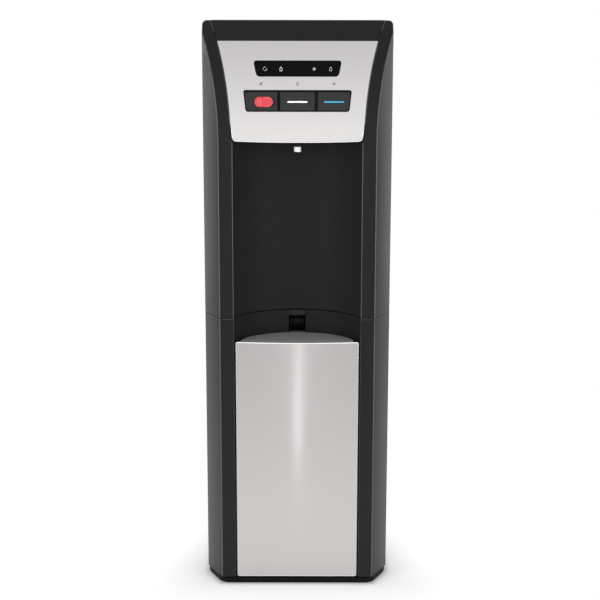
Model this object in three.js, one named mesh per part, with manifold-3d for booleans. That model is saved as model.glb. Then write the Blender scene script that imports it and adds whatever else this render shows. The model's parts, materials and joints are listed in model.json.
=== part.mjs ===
// Floor-standing, bottom-loading water dispenser.
// Millimetres, +Z up, the front faces -Y, +X is the right-hand side seen from the front.
// The origin is on the floor, under the middle of the overall box.
import * as THREE from "three";
import { mergeVertices } from "three/addons/utils/BufferGeometryUtils.js";
import Module from "manifold-3d";

const wasm = await Module();
wasm.setup();

// ---------------------------------------------------------------- overall sizes
const bodyWidth = 350; // across the side panels
const bodyHeight = 1068; // floor to the top cover
const bodyDepth = 400; // front face to the back of the condenser
const chamferRun = 30.5; // width of a corner chamfer, seen from the front
const chamferDepth = 60; // its length, front to back
const sweepHeight = 218; // the front leans back over this height below the top
const sweepRadius = 350; // radius of that lean, seen from the side
const topCornerRadius = 8; // between the sides and the top

// gaps
const fitGap = 0.3; // between two pieces that sit on each other
const seamGap = 1.4; // visible joint between the upper housing and the door
const panelGap = 0.6; // round the silver control panel
const moveGap = 0.4; // round a button or slider in its pocket
const sheet = 1.2; // steel panels

// base
const footHeight = 1.5; // rubber pads below the plinth
const plinthHeight = 9;
const plinthInset = 1.5; // plinth in from the body's outline
const plinthWall = 4;
const footRadius = 13;
const footInset = 34; // pad centres in from the sides and the back
const footFrontInset = 44;

// front frame, alcove and door
const shellWall = 3.2; // mouldings of the upper frame and the door
const seamHeight = 524; // top of the door
const doorClearance = 2.7; // under the door
const pillarWidth = 26.5; // flat front of a pillar
const alcoveArcRadius = 130.4; // plan radius of the alcove's back wall
const alcoveDepth = 87.5; // front face to the deepest point of that wall
const linerWall = 2.5;
const pillarCap = 13; // the pillars' tops reach this far back over the top
const pillarNarrowing = 2.5; // pillars lose this much beside the control panel
const narrowingLength = 40; // over this height
const bandHeight = 37; // black band above the control panel
const panelHeight = 178.2; // control panel at its corners
const panelBow = 2.3; // sag of its bottom edge at the middle
const panelThickness = 2.5;
const landWall = 2.7; // ledge of the frame behind the control panel
const landBorder = 8;
const landWindow = 8; // free border of the ledge's window round the display and the buttons

// control panel
const displayDrop = 36; // display below the top of the panel
const displayHeight = 26.5;
const displayTopWidth = 160;
const displayBottomWidth = 148;
const displayCorner = 4.5;
const blockDrop = 25.5; // button block below the display
const blockHeight = 36.7;
const blockTopWidth = 196;
const blockBottomWidth = 187;
const blockCorner = 5;
const bezelRim = 1.6; // bezel around the three buttons
const dividerCentre = 34;
const dividerWidth = 4.8;
const buttonTravel = 3;
const markWidth = 36.4;
const markHeight = 4;
const markOffset = 66; // blue mark, right of the middle
const lockOffset = 61.4; // red slider, left of the middle
const lockWidth = 33.3;
const lockHeight = 18;
const lockTravel = 4;

// dispensing
const spoutRadius = 6.5;
const spoutDrop = 23; // spout below the alcove's ceiling
const spoutSetback = 50; // spout behind the front face
const trayDrop = 44; // drip plate below the seam
const trayHeight = 23; // drip tray under its plate
const trayMargin = 8; // tray in from the alcove's sides
const trayClearance = 2;
const trayWall = 1.6;
const trayRib = 2; // ribs that carry the plate
const trayRibX = 76;
const plateThickness = 2;
const plateInset = 2.8; // water drains over the plate's edge, inside the tray's rim
const plateTaper = 17; // its ends lean in by this much towards the back

// door
const skinSideGap = 2.7; // dark joint beside the silver skin
const skinSheet = 0.8;
const skinRim = 2.5; // depth of its folded rim
const skinBottomGap = 0.4;
const skinDip = 1.6; // sag of its top edge at the middle
const doorDepth = 22; // front face to the inner liner
const hingeFromSide = 8; // hinge axis in from the side of the body
const hingeSetback = 52.5; // hinge axis behind the front face
const hingeRound = 7.9; // radius of the door's end about the hinge axis
const hingeLeaf = 26; // leaves reach this far in from the axis
const hingePinRadius = 2;
const pinClearance = 0.1;
const pinEngagement = 12; // pin inside the door
const hingeBossHeight = 26;
const pullWidth = 32; // finger pull in the alcove wall
const pullDepth = 12;
const catchTravel = 3;

// bottle bay
const platformThickness = 5.2;
const bottleRadius = 137; // recess that the bottle stands in
const bottleRecess = 2;
const compressorSpace = 88; // between the wall behind the bottle and the back of the body
const shelfRise = 6; // shelf above the door's top
const shelfFlange = 12;

// bottle probe, hanging beside the bottle
const probeFromSide = 27; // probe axis in from the side
const probeFromWall = 28; // and in front of the bay's rear wall
const probeCapRadius = 23;
const probeCapHeight = 42;
const probeRim = 3; // its rim stands out by this much
const probeRimHeight = 14;
const holderThickness = 4; // fork that the rim hangs on
const holderHeight = 30;
const probeDrop = 33; // top of the cap below the shelf
const probeTubeRadius = 5;
const probeTubeBottom = 62;
const hoseRadius = 4.5;
const probeLift = 25;

// rear
const condenserDepth = 14; // rear panel to the back of the condenser
const rearFlange = 24; // side panels' rear returns
const frontFlange = 14; // and their front returns
const guardTop = 300; // top of the compressor guard
const guardSlotBottom = 60;
const guardSlotMargin = 45; // slots in from its edges
const guardSlotPitch = 26;
const guardSlotHeight = 8;
const coilTube = 2.4; // tube radius
const coilPitch = 53;
const coilRuns = 10;
const coilRise = 72; // coil above the compressor guard
const coilMargin = 57; // coil in from the sides

// ---------------------------------------------------------------- places worked out from the sizes
const frontY = -bodyDepth / 2;
const rearY = bodyDepth / 2 - condenserDepth;
const halfWidth = bodyWidth / 2;
const faceWidth = bodyWidth - 2 * chamferRun;
const chamferAngle = Math.atan2(chamferDepth, chamferRun);
const chamferEndY = frontY + chamferDepth;
const sidePanelY = chamferEndY + 1;
const alcoveHalf = faceWidth / 2 - pillarWidth;
const alcoveCentreY = frontY + alcoveDepth - alcoveArcRadius;
const plinthTop = footHeight + plinthHeight;
const doorBottom = plinthTop + doorClearance;
const doorTop = seamHeight - seamGap / 2;
const frameBottom = seamHeight + seamGap / 2;
const sweepStart = bodyHeight - sweepHeight;
const skirtBottom = sweepStart + Math.sqrt(sweepRadius ** 2 - (sweepRadius - chamferDepth) ** 2);
const capEndY = frontY + lean(bodyHeight) + pillarCap;
const coverSeam = bodyHeight - bandHeight;
const panelBottom = coverSeam - panelHeight;
const ceilingHeight = panelBottom + 0.2;
const displayTop = coverSeam - displayDrop;
const displayBottom = displayTop - displayHeight;
const blockTop = displayBottom - blockDrop;
const blockBottom = blockTop - blockHeight;
const doorBackY = frontY + doorDepth;
const bayRearY = rearY - compressorSpace;
const bayFloor = plinthTop + fitGap + platformThickness;
const shelfHeight = seamHeight + shelfRise;
const landInset = panelThickness + fitGap;
const hingeX = halfWidth - hingeFromSide;
const hingeY = frontY + hingeSetback;
const upperLeafBottom = frameBottom + 0.5;
const spoutY = frontY + spoutSetback;
const spoutBottom = ceilingHeight - spoutDrop;
const trayLevel = seamHeight - trayDrop;
const trayHalfWidth = alcoveHalf - trayMargin;
const trayBottom = trayLevel - plateThickness - fitGap - trayHeight;
const cupFloor = trayBottom - fitGap;
const probeX = -halfWidth + probeFromSide;
const probeY = bayRearY - probeFromWall;
const probeCapBottom = shelfHeight - probeDrop - probeCapHeight;
const coilBottom = guardTop + coilRise;
const coilHalfWidth = halfWidth - coilMargin;
const far = 2000; // reaches past the whole body

// ---------------------------------------------------------------- materials
function material(colour, roughness, metalness = 0) {
  return new THREE.MeshStandardMaterial({ color: colour, roughness, metalness });
}
const blackPlastic = () => material(0x232324, 0.38);
const linerPlastic = () => material(0x1b1b1c, 0.5);
const innerPlastic = () => material(0x55585a, 0.6);
const greyPlastic = () => material(0x6d6f70, 0.5);
const silver = () => material(0xcbc5c5, 0.32, 0.9);
const paintedSteel = () => material(0x4a4b4d, 0.45, 0.3);
const zincSteel = () => material(0xa3a7aa, 0.4, 0.9);
const stainless = () => material(0xbfc2c4, 0.28, 1);
const gloss = () => material(0x090909, 0.08);
const rubber = () => material(0x151515, 0.9);
const redPlastic = () => material(0xe03a42, 0.35);
const bluePlastic = () => material(0x3fa6de, 0.4);
const whitePlastic = () => material(0xf2f2f2, 0.4);
const clearHose = () => material(0xdde4e6, 0.3);
const foam = () => material(0xe8e6df, 0.95);
const boardGreen = () => material(0x1f6b3c, 0.5);
const blackPaint = () => material(0x121213, 0.4, 0.3);

// ---------------------------------------------------------------- solids
function toSolid(geometry) {
  const plain = geometry.clone();
  plain.deleteAttribute("normal");
  plain.deleteAttribute("uv");
  const merged = mergeVertices(plain, 1e-4);
  const vertProperties = new Float32Array(merged.attributes.position.array);
  const triVerts = new Uint32Array(merged.index.array);
  return new wasm.Manifold(new wasm.Mesh({ numProp: 3, vertProperties, triVerts }));
}

function toGeometry(solid) {
  const mesh = solid.getMesh();
  const geometry = new THREE.BufferGeometry();
  geometry.setAttribute("position", new THREE.BufferAttribute(new Float32Array(mesh.vertProperties), 3));
  geometry.setIndex(new THREE.BufferAttribute(new Uint32Array(mesh.triVerts), 1));
  geometry.computeVertexNormals();
  return geometry;
}

const join = (first, ...others) => others.reduce((sum, other) => sum.add(other), first);
const cut = (first, ...others) => others.reduce((rest, other) => rest.subtract(other), first);
const common = (first, ...others) => others.reduce((part, other) => part.intersect(other), first);

function box(x0, x1, y0, y1, z0, z1) {
  const geometry = new THREE.BoxGeometry(x1 - x0, y1 - y0, z1 - z0);
  geometry.translate((x0 + x1) / 2, (y0 + y1) / 2, (z0 + z1) / 2);
  return toSolid(geometry);
}

// an XY outline, extruded up from z0 to z1
function upright(shape, z0, z1, curveSegments = 12) {
  const geometry = new THREE.ExtrudeGeometry(shape, { depth: z1 - z0, bevelEnabled: false, curveSegments });
  return toSolid(geometry.translate(0, 0, z0));
}

// an XZ outline, seen from the front, extruded back from y0 to y1
function frontal(shape, y0, y1, curveSegments = 4) {
  const geometry = new THREE.ExtrudeGeometry(shape, { depth: y1 - y0, bevelEnabled: false, curveSegments });
  return toSolid(geometry.rotateX(Math.PI / 2).translate(0, y1, 0));
}

// a YZ outline, seen from the side, extruded across from x0 to x1
function sideways(shape, x0, x1) {
  const geometry = new THREE.ExtrudeGeometry(shape, { depth: x1 - x0, bevelEnabled: false });
  const turn = new THREE.Matrix4().makeBasis(
    new THREE.Vector3(0, 1, 0),
    new THREE.Vector3(0, 0, 1),
    new THREE.Vector3(1, 0, 0),
  );
  return toSolid(geometry.applyMatrix4(turn).translate(x0, 0, 0));
}

// a round bar between two points
function rod(from, to, radius, sides = 16) {
  const start = new THREE.Vector3(...from);
  const run = new THREE.Vector3(...to).sub(start);
  const geometry = new THREE.CylinderGeometry(radius, radius, run.length(), sides);
  geometry.translate(0, run.length() / 2, 0);
  const turn = new THREE.Quaternion().setFromUnitVectors(new THREE.Vector3(0, 1, 0), run.normalize());
  geometry.applyQuaternion(turn);
  return toSolid(geometry.translate(start.x, start.y, start.z));
}

// a profile of [radius, height] points turned about a vertical axis through (x, y)
function turned(profile, x = 0, y = 0, sides = 24) {
  const points = profile.map(([radius, height]) => new THREE.Vector2(radius, height));
  const geometry = new THREE.LatheGeometry(points, sides).rotateX(Math.PI / 2);
  return toSolid(geometry.translate(x, y, 0));
}

// a round tube's outer shape along a smooth path through the points
function pipe(points, radius, steps, sides = 8) {
  const path = new THREE.CatmullRomCurve3(points.map((point) => new THREE.Vector3(...point)));
  const section = new THREE.Shape();
  section.absarc(0, 0, radius, 0, 2 * Math.PI);
  const geometry = new THREE.ExtrudeGeometry(section, { steps, extrudePath: path, curveSegments: sides / 2 });
  return toSolid(geometry);
}

function polygon(points) {
  return new THREE.Shape(points.map(([a, b]) => new THREE.Vector2(a, b)));
}

function rectangle(x0, x1, y0, y1) {
  return polygon([[x0, y0], [x1, y0], [x1, y1], [x0, y1]]);
}

// a rectangle or a trapezium with rounded corners, from its two widths
function roundedTrapezium(bottomWidth, topWidth, bottom, top, radius, grow = 0) {
  const slope = (topWidth - bottomWidth) / 2 / (top - bottom);
  const lean = Math.hypot(1, slope);
  const side = (height) => bottomWidth / 2 + slope * (height - bottom) + grow * lean;
  const corners = [
    [-side(bottom - grow), bottom - grow],
    [side(bottom - grow), bottom - grow],
    [side(top + grow), top + grow],
    [-side(top + grow), top + grow],
  ].map(([x, z]) => new THREE.Vector2(x, z));
  const shape = new THREE.Shape();
  corners.forEach((corner, i) => {
    const before = corners[(i + 3) % 4].clone().sub(corner).setLength(radius + grow).add(corner);
    const after = corners[(i + 1) % 4].clone().sub(corner).setLength(radius + grow).add(corner);
    if (i === 0) shape.moveTo(before.x, before.y);
    else shape.lineTo(before.x, before.y);
    shape.quadraticCurveTo(corner.x, corner.y, after.x, after.y);
  });
  return shape;
}

// a slot with half-round ends
function stadium(centreX, centreZ, width, height, grow = 0) {
  const radius = height / 2 + grow;
  const reach = (width - height) / 2;
  const shape = new THREE.Shape();
  shape.absarc(centreX + reach, centreZ, radius, -Math.PI / 2, Math.PI / 2);
  shape.absarc(centreX - reach, centreZ, radius, Math.PI / 2, 1.5 * Math.PI);
  return shape;
}

// ---------------------------------------------------------------- the body's outer form
// how far the front has leaned back at a height
function lean(height) {
  const rise = Math.max(0, height - sweepStart);
  return sweepRadius - Math.sqrt(sweepRadius ** 2 - rise ** 2);
}

const surfaceY = (height) => frontY + lean(height);

// half-width of the front face at a height: it grows as the lean cuts into the chamfers
const creaseX = (height) => faceWidth / 2 + (lean(height) * chamferRun) / chamferDepth;

// half-width of the control panel and the top band, between the pillars
function panelEdge(height) {
  const pillar = faceWidth / 2 - alcoveHalf;
  const share = Math.min(1, Math.max(0, (height - sweepStart) / narrowingLength));
  return creaseX(height) - pillar + pillarNarrowing * share;
}

// the body's plan, moved in by a distance
function planOutline(inset, backY) {
  const front = faceWidth / 2 - inset * Math.tan(chamferAngle / 2);
  const side = halfWidth - inset;
  const bendY = chamferEndY + inset * Math.tan((Math.PI / 2 - chamferAngle) / 2);
  return polygon([
    [-front, frontY + inset],
    [front, frontY + inset],
    [side, bendY],
    [side, backY],
    [-side, backY],
    [-side, bendY],
  ]);
}

const envelopes = new Map();

// the solid inside the body's outer form, moved in by a distance
function envelope(inset) {
  if (!envelopes.has(inset)) {
    const top = bodyHeight - inset;
    const radius = sweepRadius - inset;
    const lastAngle = Math.asin((top - sweepStart) / radius);
    const steps = 14;
    const profile = [[frontY + inset, -far]];
    for (let i = 0; i <= steps; i++) {
      const angle = (lastAngle * i) / steps;
      const back = sweepRadius - radius * Math.cos(angle);
      profile.push([frontY + back, sweepStart + radius * Math.sin(angle)]);
    }
    profile.push([rearY - inset, top], [rearY - inset, -far]);
    const side = halfWidth - inset;
    const corner = Math.max(1, topCornerRadius - inset);
    const front = new THREE.Shape();
    front.moveTo(-side, -far);
    front.lineTo(side, -far);
    front.lineTo(side, top - corner);
    front.absarc(side - corner, top - corner, corner, 0, Math.PI / 2);
    front.absarc(-side + corner, top - corner, corner, Math.PI / 2, Math.PI);
    envelopes.set(inset, common(
      upright(planOutline(inset, rearY - inset), -far, far),
      sideways(polygon(profile), -far, far),
      frontal(front, -far, far),
    ));
  }
  return envelopes.get(inset);
}

const shell = (outerInset, innerInset) => cut(envelope(outerInset), envelope(innerInset));

// the control panel's outline, seen from the front
function panelOutline(grow) {
  const points = [];
  const steps = 12;
  const bottomHalf = panelEdge(panelBottom) + grow;
  for (let i = 0; i <= steps; i++) {
    const x = -bottomHalf + (2 * bottomHalf * i) / steps;
    points.push([x, panelBottom - grow - panelBow * (1 - (x / bottomHalf) ** 2)]);
  }
  const edges = [];
  for (let i = 1; i <= steps; i++) {
    const height = panelBottom + ((coverSeam - panelBottom) * i) / steps;
    edges.push([panelEdge(height) + grow, i === steps ? coverSeam + grow : height]);
  }
  const mirrored = edges.map(([x, z]) => [-x, z]).reverse();
  return polygon([...points, ...edges, ...mirrored]);
}

// the part of the top band that lies between the pillars
function bandOutline(grow, bottom) {
  const edges = [];
  const steps = 4;
  for (let i = 0; i <= steps; i++) {
    const height = bottom + ((bodyHeight - bottom) * i) / steps;
    edges.push([panelEdge(height) + grow, height]);
  }
  edges.push([panelEdge(bodyHeight) + grow, far]);
  const mirrored = edges.map(([x, z]) => [-x, z]).reverse();
  return polygon([...edges, ...mirrored]);
}

const displayOutline = (grow) =>
  roundedTrapezium(displayBottomWidth, displayTopWidth, displayBottom, displayTop, displayCorner, grow);
const blockOutline = (grow) =>
  roundedTrapezium(blockBottomWidth, blockTopWidth, blockBottom, blockTop, blockCorner, grow);

// the space inside the alcove's round wall, from above
function alcoveDisc(radius, z0, z1) {
  const shape = new THREE.Shape();
  shape.absarc(0, alcoveCentreY, radius, 0, 2 * Math.PI);
  return upright(shape, z0, z1, 32);
}

// ---------------------------------------------------------------- base
function makePlinth() {
  const outer = upright(planOutline(plinthInset, rearY - plinthInset), footHeight, plinthTop);
  const innerInset = plinthInset + plinthWall;
  const inner = upright(planOutline(innerInset, rearY - innerInset), footHeight + plinthWall, plinthTop + 1);
  const recesses = footCentres.map(([x, y]) =>
    rod([x, y, 0], [x, y, footHeight + fitGap + 1], footRadius + fitGap));
  const rib = box(-halfWidth + 10, halfWidth - 10, -10, -6, footHeight + 1, plinthTop);
  return cut(join(cut(outer, inner), rib), ...recesses);
}

const footCentres = [
  [-halfWidth + footInset, frontY + footFrontInset],
  [halfWidth - footInset, frontY + footFrontInset],
  [-halfWidth + footInset, rearY - footInset],
  [halfWidth - footInset, rearY - footInset],
];

function makeFootPad() {
  return rod([0, 0, 0], [0, 0, footHeight + 1], footRadius, 20);
}

function makeBottlePlatform() {
  const side = halfWidth - sheet - fitGap;
  const front = doorBackY + 3;
  const bottom = plinthTop + fitGap;
  const plate = box(-side, side, sidePanelY + sheet + fitGap, bayRearY - fitGap, bottom, bayFloor);
  const noseHalf = hingeX - hingeLeaf - 2 * fitGap;
  const nose = box(-noseHalf, noseHalf, front, sidePanelY + 10, bottom, bayFloor);
  const centre = (front + bayRearY) / 2;
  const recess = rod([0, centre, bayFloor - bottleRecess], [0, centre, bayFloor + 1], bottleRadius, 40);
  return cut(join(plate, nose), recess);
}

// ---------------------------------------------------------------- cabinet
function makeSidePanel() {
  const back = rearY;
  const outline = polygon([
    [halfWidth, sidePanelY],
    [halfWidth, back],
    [halfWidth - rearFlange, back],
    [halfWidth - rearFlange, back - sheet],
    [halfWidth - sheet, back - sheet],
    [halfWidth - sheet, sidePanelY + sheet],
    [halfWidth - frontFlange, sidePanelY + sheet],
    [halfWidth - frontFlange, sidePanelY],
  ]);
  return upright(outline, plinthTop + fitGap, skirtBottom - fitGap);
}

function makeShelf() {
  const side = halfWidth - sheet - fitGap;
  const section = polygon([
    [-side, shelfHeight - shelfFlange],
    [-side + sheet, shelfHeight - shelfFlange],
    [-side + sheet, shelfHeight],
    [side - sheet, shelfHeight],
    [side - sheet, shelfHeight - shelfFlange],
    [side, shelfHeight - shelfFlange],
    [side, shelfHeight + sheet],
    [-side, shelfHeight + sheet],
  ]);
  const front = frontY + alcoveDepth + linerWall + fitGap;
  const body = frontal(section, front, rearY - sheet - fitGap);
  const hole = rod([probeX, probeY, shelfHeight - 1], [probeX, probeY, shelfHeight + 3], hoseRadius + 1.5);
  return cut(body, hole);
}

function makeBayRearWall() {
  const side = halfWidth - sheet - fitGap;
  const wall = box(-side, side, bayRearY, bayRearY + sheet, plinthTop + fitGap, shelfHeight - fitGap);
  const notches = [-1, 1].map((sign) => {
    const edge = sign * (side - sheet - fitGap);
    return box(Math.min(edge, sign * far), Math.max(edge, sign * far), 0, far,
      shelfHeight - shelfFlange - fitGap, shelfHeight + 1);
  });
  return cut(wall, ...notches);
}

function makeRearPanel() {
  const half = halfWidth - rearFlange - fitGap;
  return box(-half, half, rearY - sheet, rearY, guardTop + fitGap, skirtBottom - fitGap);
}

function makeCompressorGuard() {
  const half = halfWidth - rearFlange - fitGap;
  const plate = box(-half, half, rearY - sheet, rearY, plinthTop + fitGap, guardTop - fitGap);
  const slots = [];
  for (let z = guardSlotBottom; z < guardTop - guardSlotMargin; z += guardSlotPitch) {
    const side = half - guardSlotMargin;
    slots.push(box(-side, side, -far, far, z - guardSlotHeight / 2, z + guardSlotHeight / 2));
  }
  const gland = rod([glandX, rearY - 5, glandZ], [glandX, rearY + 5, glandZ], glandRadius + fitGap);
  return cut(plate, ...slots, gland);
}

const glandFromSide = 53;
const glandX = halfWidth - glandFromSide;
const glandZ = plinthTop + 23.5;
const glandRadius = 7;

function makeCordGland() {
  const inner = rod([glandX, rearY - 6, glandZ], [glandX, rearY + 5, glandZ], glandRadius, 20);
  const rim = rod([glandX, rearY + fitGap, glandZ], [glandX, rearY + 3, glandZ], glandRadius + 3, 20);
  const bore = rod([glandX, rearY - 7, glandZ], [glandX, rearY + 6, glandZ], glandRadius / 2, 16);
  return cut(join(inner, rim), bore);
}

function makeTopCover() {
  const wall = shell(0, panelThickness);
  const behind = box(-far, far, capEndY, far, skirtBottom, far);
  const band = frontal(bandOutline(-panelGap / 2, coverSeam + panelGap), -far, capEndY + 1);
  return common(wall, join(behind, band));
}

// ---------------------------------------------------------------- upper front
function makeFrontFrame() {
  const region = join(
    box(-far, far, -far, sidePanelY - fitGap, frameBottom, far),
    box(-far, far, -far, capEndY - fitGap, skirtBottom, far),
  );
  const land = common(shell(landInset, landInset + landWall), frontal(panelOutline(landBorder), -far, 0));
  const window = frontal(rectangle(
    -blockTopWidth / 2 - landWindow / 2, blockTopWidth / 2 + landWindow / 2,
    blockBottom - landWindow, displayTop + landWindow), -far, 0);
  const ledge = cut(land, window);
  const walls = cut(
    shell(0, shellWall),
    frontal(panelOutline(panelGap), -far, 0),
    frontal(bandOutline(panelGap / 2, coverSeam), -far, 0),
    box(-alcoveHalf, alcoveHalf, -far, 0, 0, panelBottom),
  );
  const alcove = box(-alcoveHalf, alcoveHalf, -far, 0, 0, panelBottom - 1);
  const pinHole = rod([hingeX, hingeY, 0], [hingeX, hingeY, upperLeafBottom + 1.5], hingePinRadius + 0.5, 16);
  return cut(common(join(walls, ledge), region), alcove, pinHole);
}

function makeAlcoveLiner() {
  const top = ceilingHeight + linerWall;
  const outer = alcoveArcRadius + linerWall;
  const hollow = alcoveDisc(alcoveArcRadius, frameBottom - 1, ceilingHeight);
  const ring = cut(alcoveDisc(outer, frameBottom, top), hollow);
  const ledgeBottom = panelBottom - panelBow - landBorder - 1;
  const behindFrame = box(-far, far, frontY + shellWall + fitGap, far, 0, ledgeBottom);
  const behindLedge = box(-far, far, frontY + landInset + landWall + fitGap, far, 0, far);
  const hole = rod([0, spoutY, ceilingHeight - 1], [0, spoutY, top + 1], spoutRadius + fitGap, 20);
  return cut(common(ring, join(behindFrame, behindLedge)), hole);
}

function makeControlPanel() {
  const plate = common(shell(0, panelThickness), frontal(panelOutline(0), -far, 0));
  const display = frontal(displayOutline(moveGap), -far, 0);
  const block = frontal(blockOutline(fitGap), -far, 0);
  return cut(plate, display, block);
}

const lensInset = 0.4;
const lensThickness = 2;
const displayBoardSetback = 10;
const displayBoardY = surfaceY(displayTop) + displayBoardSetback;

function makeDisplayWindow() {
  const lens = common(shell(lensInset, lensInset + lensThickness), frontal(displayOutline(0), -far, 0));
  const postZ = (displayTop + displayBottom) / 2;
  const posts = [-1, 1].map((sign) => {
    const x = sign * (displayBottomWidth / 2 - 4);
    return rod([x, surfaceY(postZ) + lensInset + 1, postZ], [x, displayBoardY - fitGap, postZ], 2.5, 12);
  });
  return join(lens, ...posts);
}

const boardThickness = 1.6;
const lampSpots = [-61, -30, 30, 61]; // the lamps behind the display's four signs
const lampHalf = 3;
const lampHeight = 4;

function makeDisplayBoard() {
  const half = displayBottomWidth / 2;
  const back = displayBoardY + boardThickness;
  const board = box(-half, half, displayBoardY, back, displayBottom - 2, displayTop);
  const middle = (displayTop + displayBottom) / 2;
  const front = displayBoardY - lampHeight;
  const lamps = lampSpots.map((x) => box(
    x - lampHalf, x + lampHalf, front, back - 1, middle - lampHalf, middle + lampHalf));
  return join(board, ...lamps);
}

// button block: a bezel with three pockets and two dividers
const bezelInset = 0.7;
const bezelDepth = 8; // behind the panel's surface at the block's top
const boardSpacing = 11; // bezel to switch board
const bezelBackY = surfaceY(blockTop) + bezelDepth;
const switchBoardY = bezelBackY + boardSpacing;
const buttonMiddle = (blockTop + blockBottom) / 2;

// the outline of one of the three pockets, moved in by a distance
function pocket(index, inset) {
  const inner = frontal(blockOutline(-bezelRim - inset), -far, 0);
  const edge = dividerCentre - dividerWidth / 2 - inset;
  const outerEdge = dividerCentre + dividerWidth / 2 + inset;
  const limits = [[-far, -outerEdge], [-edge, edge], [outerEdge, far]][index];
  return common(inner, box(limits[0], limits[1], -far, far, 0, far));
}

function makeButtonBezel() {
  const inFront = box(-far, far, -far, bezelBackY, 0, far);
  const block = common(envelope(bezelInset), inFront, frontal(blockOutline(0), -far, 0));
  const posts = [-1, 1].map((sign) => {
    const x = sign * dividerCentre;
    return rod([x, bezelBackY - 1, buttonMiddle], [x, switchBoardY - fitGap, buttonMiddle], 2, 12);
  });
  return join(cut(block, pocket(0, 0), pocket(1, 0), pocket(2, 0)), ...posts);
}

const buttonSpacing = (dividerCentre + blockTopWidth / 2) / 2;
const buttonCentres = [-buttonSpacing, 0, buttonSpacing];
const stemClearance = 0.5;
const switchHeight = 5;
const switchHalf = 4;

function makeButton(index) {
  const cap = common(pocket(index, moveGap), envelope(0), box(-far, far, -far, bezelBackY - 2, 0, far));
  const x = buttonCentres[index];
  const stemEnd = switchBoardY - switchHeight - buttonTravel - stemClearance;
  const stem = rod([x, bezelBackY - 3, buttonMiddle], [x, stemEnd, buttonMiddle], 3, 12);
  return join(cap, stem);
}

function makeSwitchBoard() {
  const half = blockTopWidth / 2 - 6;
  const board = box(-half, half, switchBoardY, switchBoardY + boardThickness, blockBottom, blockTop);
  const front = switchBoardY - switchHeight;
  const bottom = buttonMiddle - switchHalf;
  const top = buttonMiddle + switchHalf;
  const switches = buttonCentres.map((x) =>
    box(x - switchHalf, x + switchHalf, front, switchBoardY + 0.5, bottom, top));
  return join(board, ...switches);
}

const markDepth = 0.8;
const markGap = 0.2;
const markProud = 0.3;

// the recess in a button face for its inlaid mark
function markRecess(x) {
  const front = frontal(stadium(x, buttonMiddle - 1, markWidth, markHeight, markGap), -far, 0);
  return cut(front, envelope(markDepth + markGap));
}

function makeMark(x) {
  const outline = stadium(x, buttonMiddle - 1, markWidth, markHeight);
  return common(shell(-markProud, markDepth), frontal(outline, -far, 0));
}

const lockFloorY = surfaceY(buttonMiddle) + 2.6;
const lockProud = 1;
const ridgeProud = 1.8;
const ridgeSpots = [-9.5, -4.5]; // from the slider's middle
const ridgeWidth = 2.4;
const ridgeMargin = 2.5;

function lockPocket() {
  const centre = -lockOffset + lockTravel / 2;
  const run = stadium(centre, buttonMiddle - 1, lockWidth + lockTravel, lockHeight, moveGap);
  return frontal(run, -far, lockFloorY);
}

function makeLockSlider() {
  const outline = stadium(-lockOffset, buttonMiddle - 1, lockWidth, lockHeight);
  const pill = common(frontal(outline, -far, lockFloorY - fitGap), envelope(-lockProud));
  const bottom = buttonMiddle - 1 - lockHeight / 2 + ridgeMargin;
  const top = buttonMiddle - 1 + lockHeight / 2 - ridgeMargin;
  const ridges = ridgeSpots.map((offset) => {
    const x = -lockOffset + offset;
    const ridge = rectangle(x - ridgeWidth / 2, x + ridgeWidth / 2, bottom, top);
    return common(frontal(ridge, -far, lockFloorY - 1), envelope(-ridgeProud));
  });
  return join(pill, ...ridges);
}

// ---------------------------------------------------------------- dispensing head
const manifoldTop = ceilingHeight + 34;
const manifoldHalf = 30;
const portSpacing = 19;
const portRadius = 3.2;
const manifoldBackY = spoutY + 22;
const portEndY = manifoldBackY + 12;
const portZ = ceilingHeight + 20;

function makeSpout() {
  const top = ceilingHeight + linerWall;
  return turned([
    [3.6, spoutBottom],
    [spoutRadius, spoutBottom],
    [spoutRadius, top + fitGap],
    [spoutRadius + 3.5, top + fitGap],
    [spoutRadius + 3.5, top + 3],
    [3.6, top + 3],
    [3.6, spoutBottom],
  ], 0, spoutY, 24);
}

function makeManifold() {
  const bottom = ceilingHeight + linerWall + 3 + fitGap;
  const block = box(-manifoldHalf, manifoldHalf, spoutY - 16, manifoldBackY, bottom, manifoldTop - 6);
  const legs = [-1, 1].map((sign) => {
    const x = sign * (manifoldHalf - 5);
    return box(x - 5, x + 5, spoutY - 10, spoutY + 10, ceilingHeight + linerWall + fitGap, bottom + 1);
  });
  const ports = [-portSpacing, 0, portSpacing].map((x) =>
    rod([x, manifoldBackY - 1, portZ], [x, portEndY, portZ], portRadius, 12));
  return join(block, ...legs, ...ports);
}

// ---------------------------------------------------------------- door
const doorWall = shellWall;
const wingEndY = sidePanelY - 2;

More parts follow.
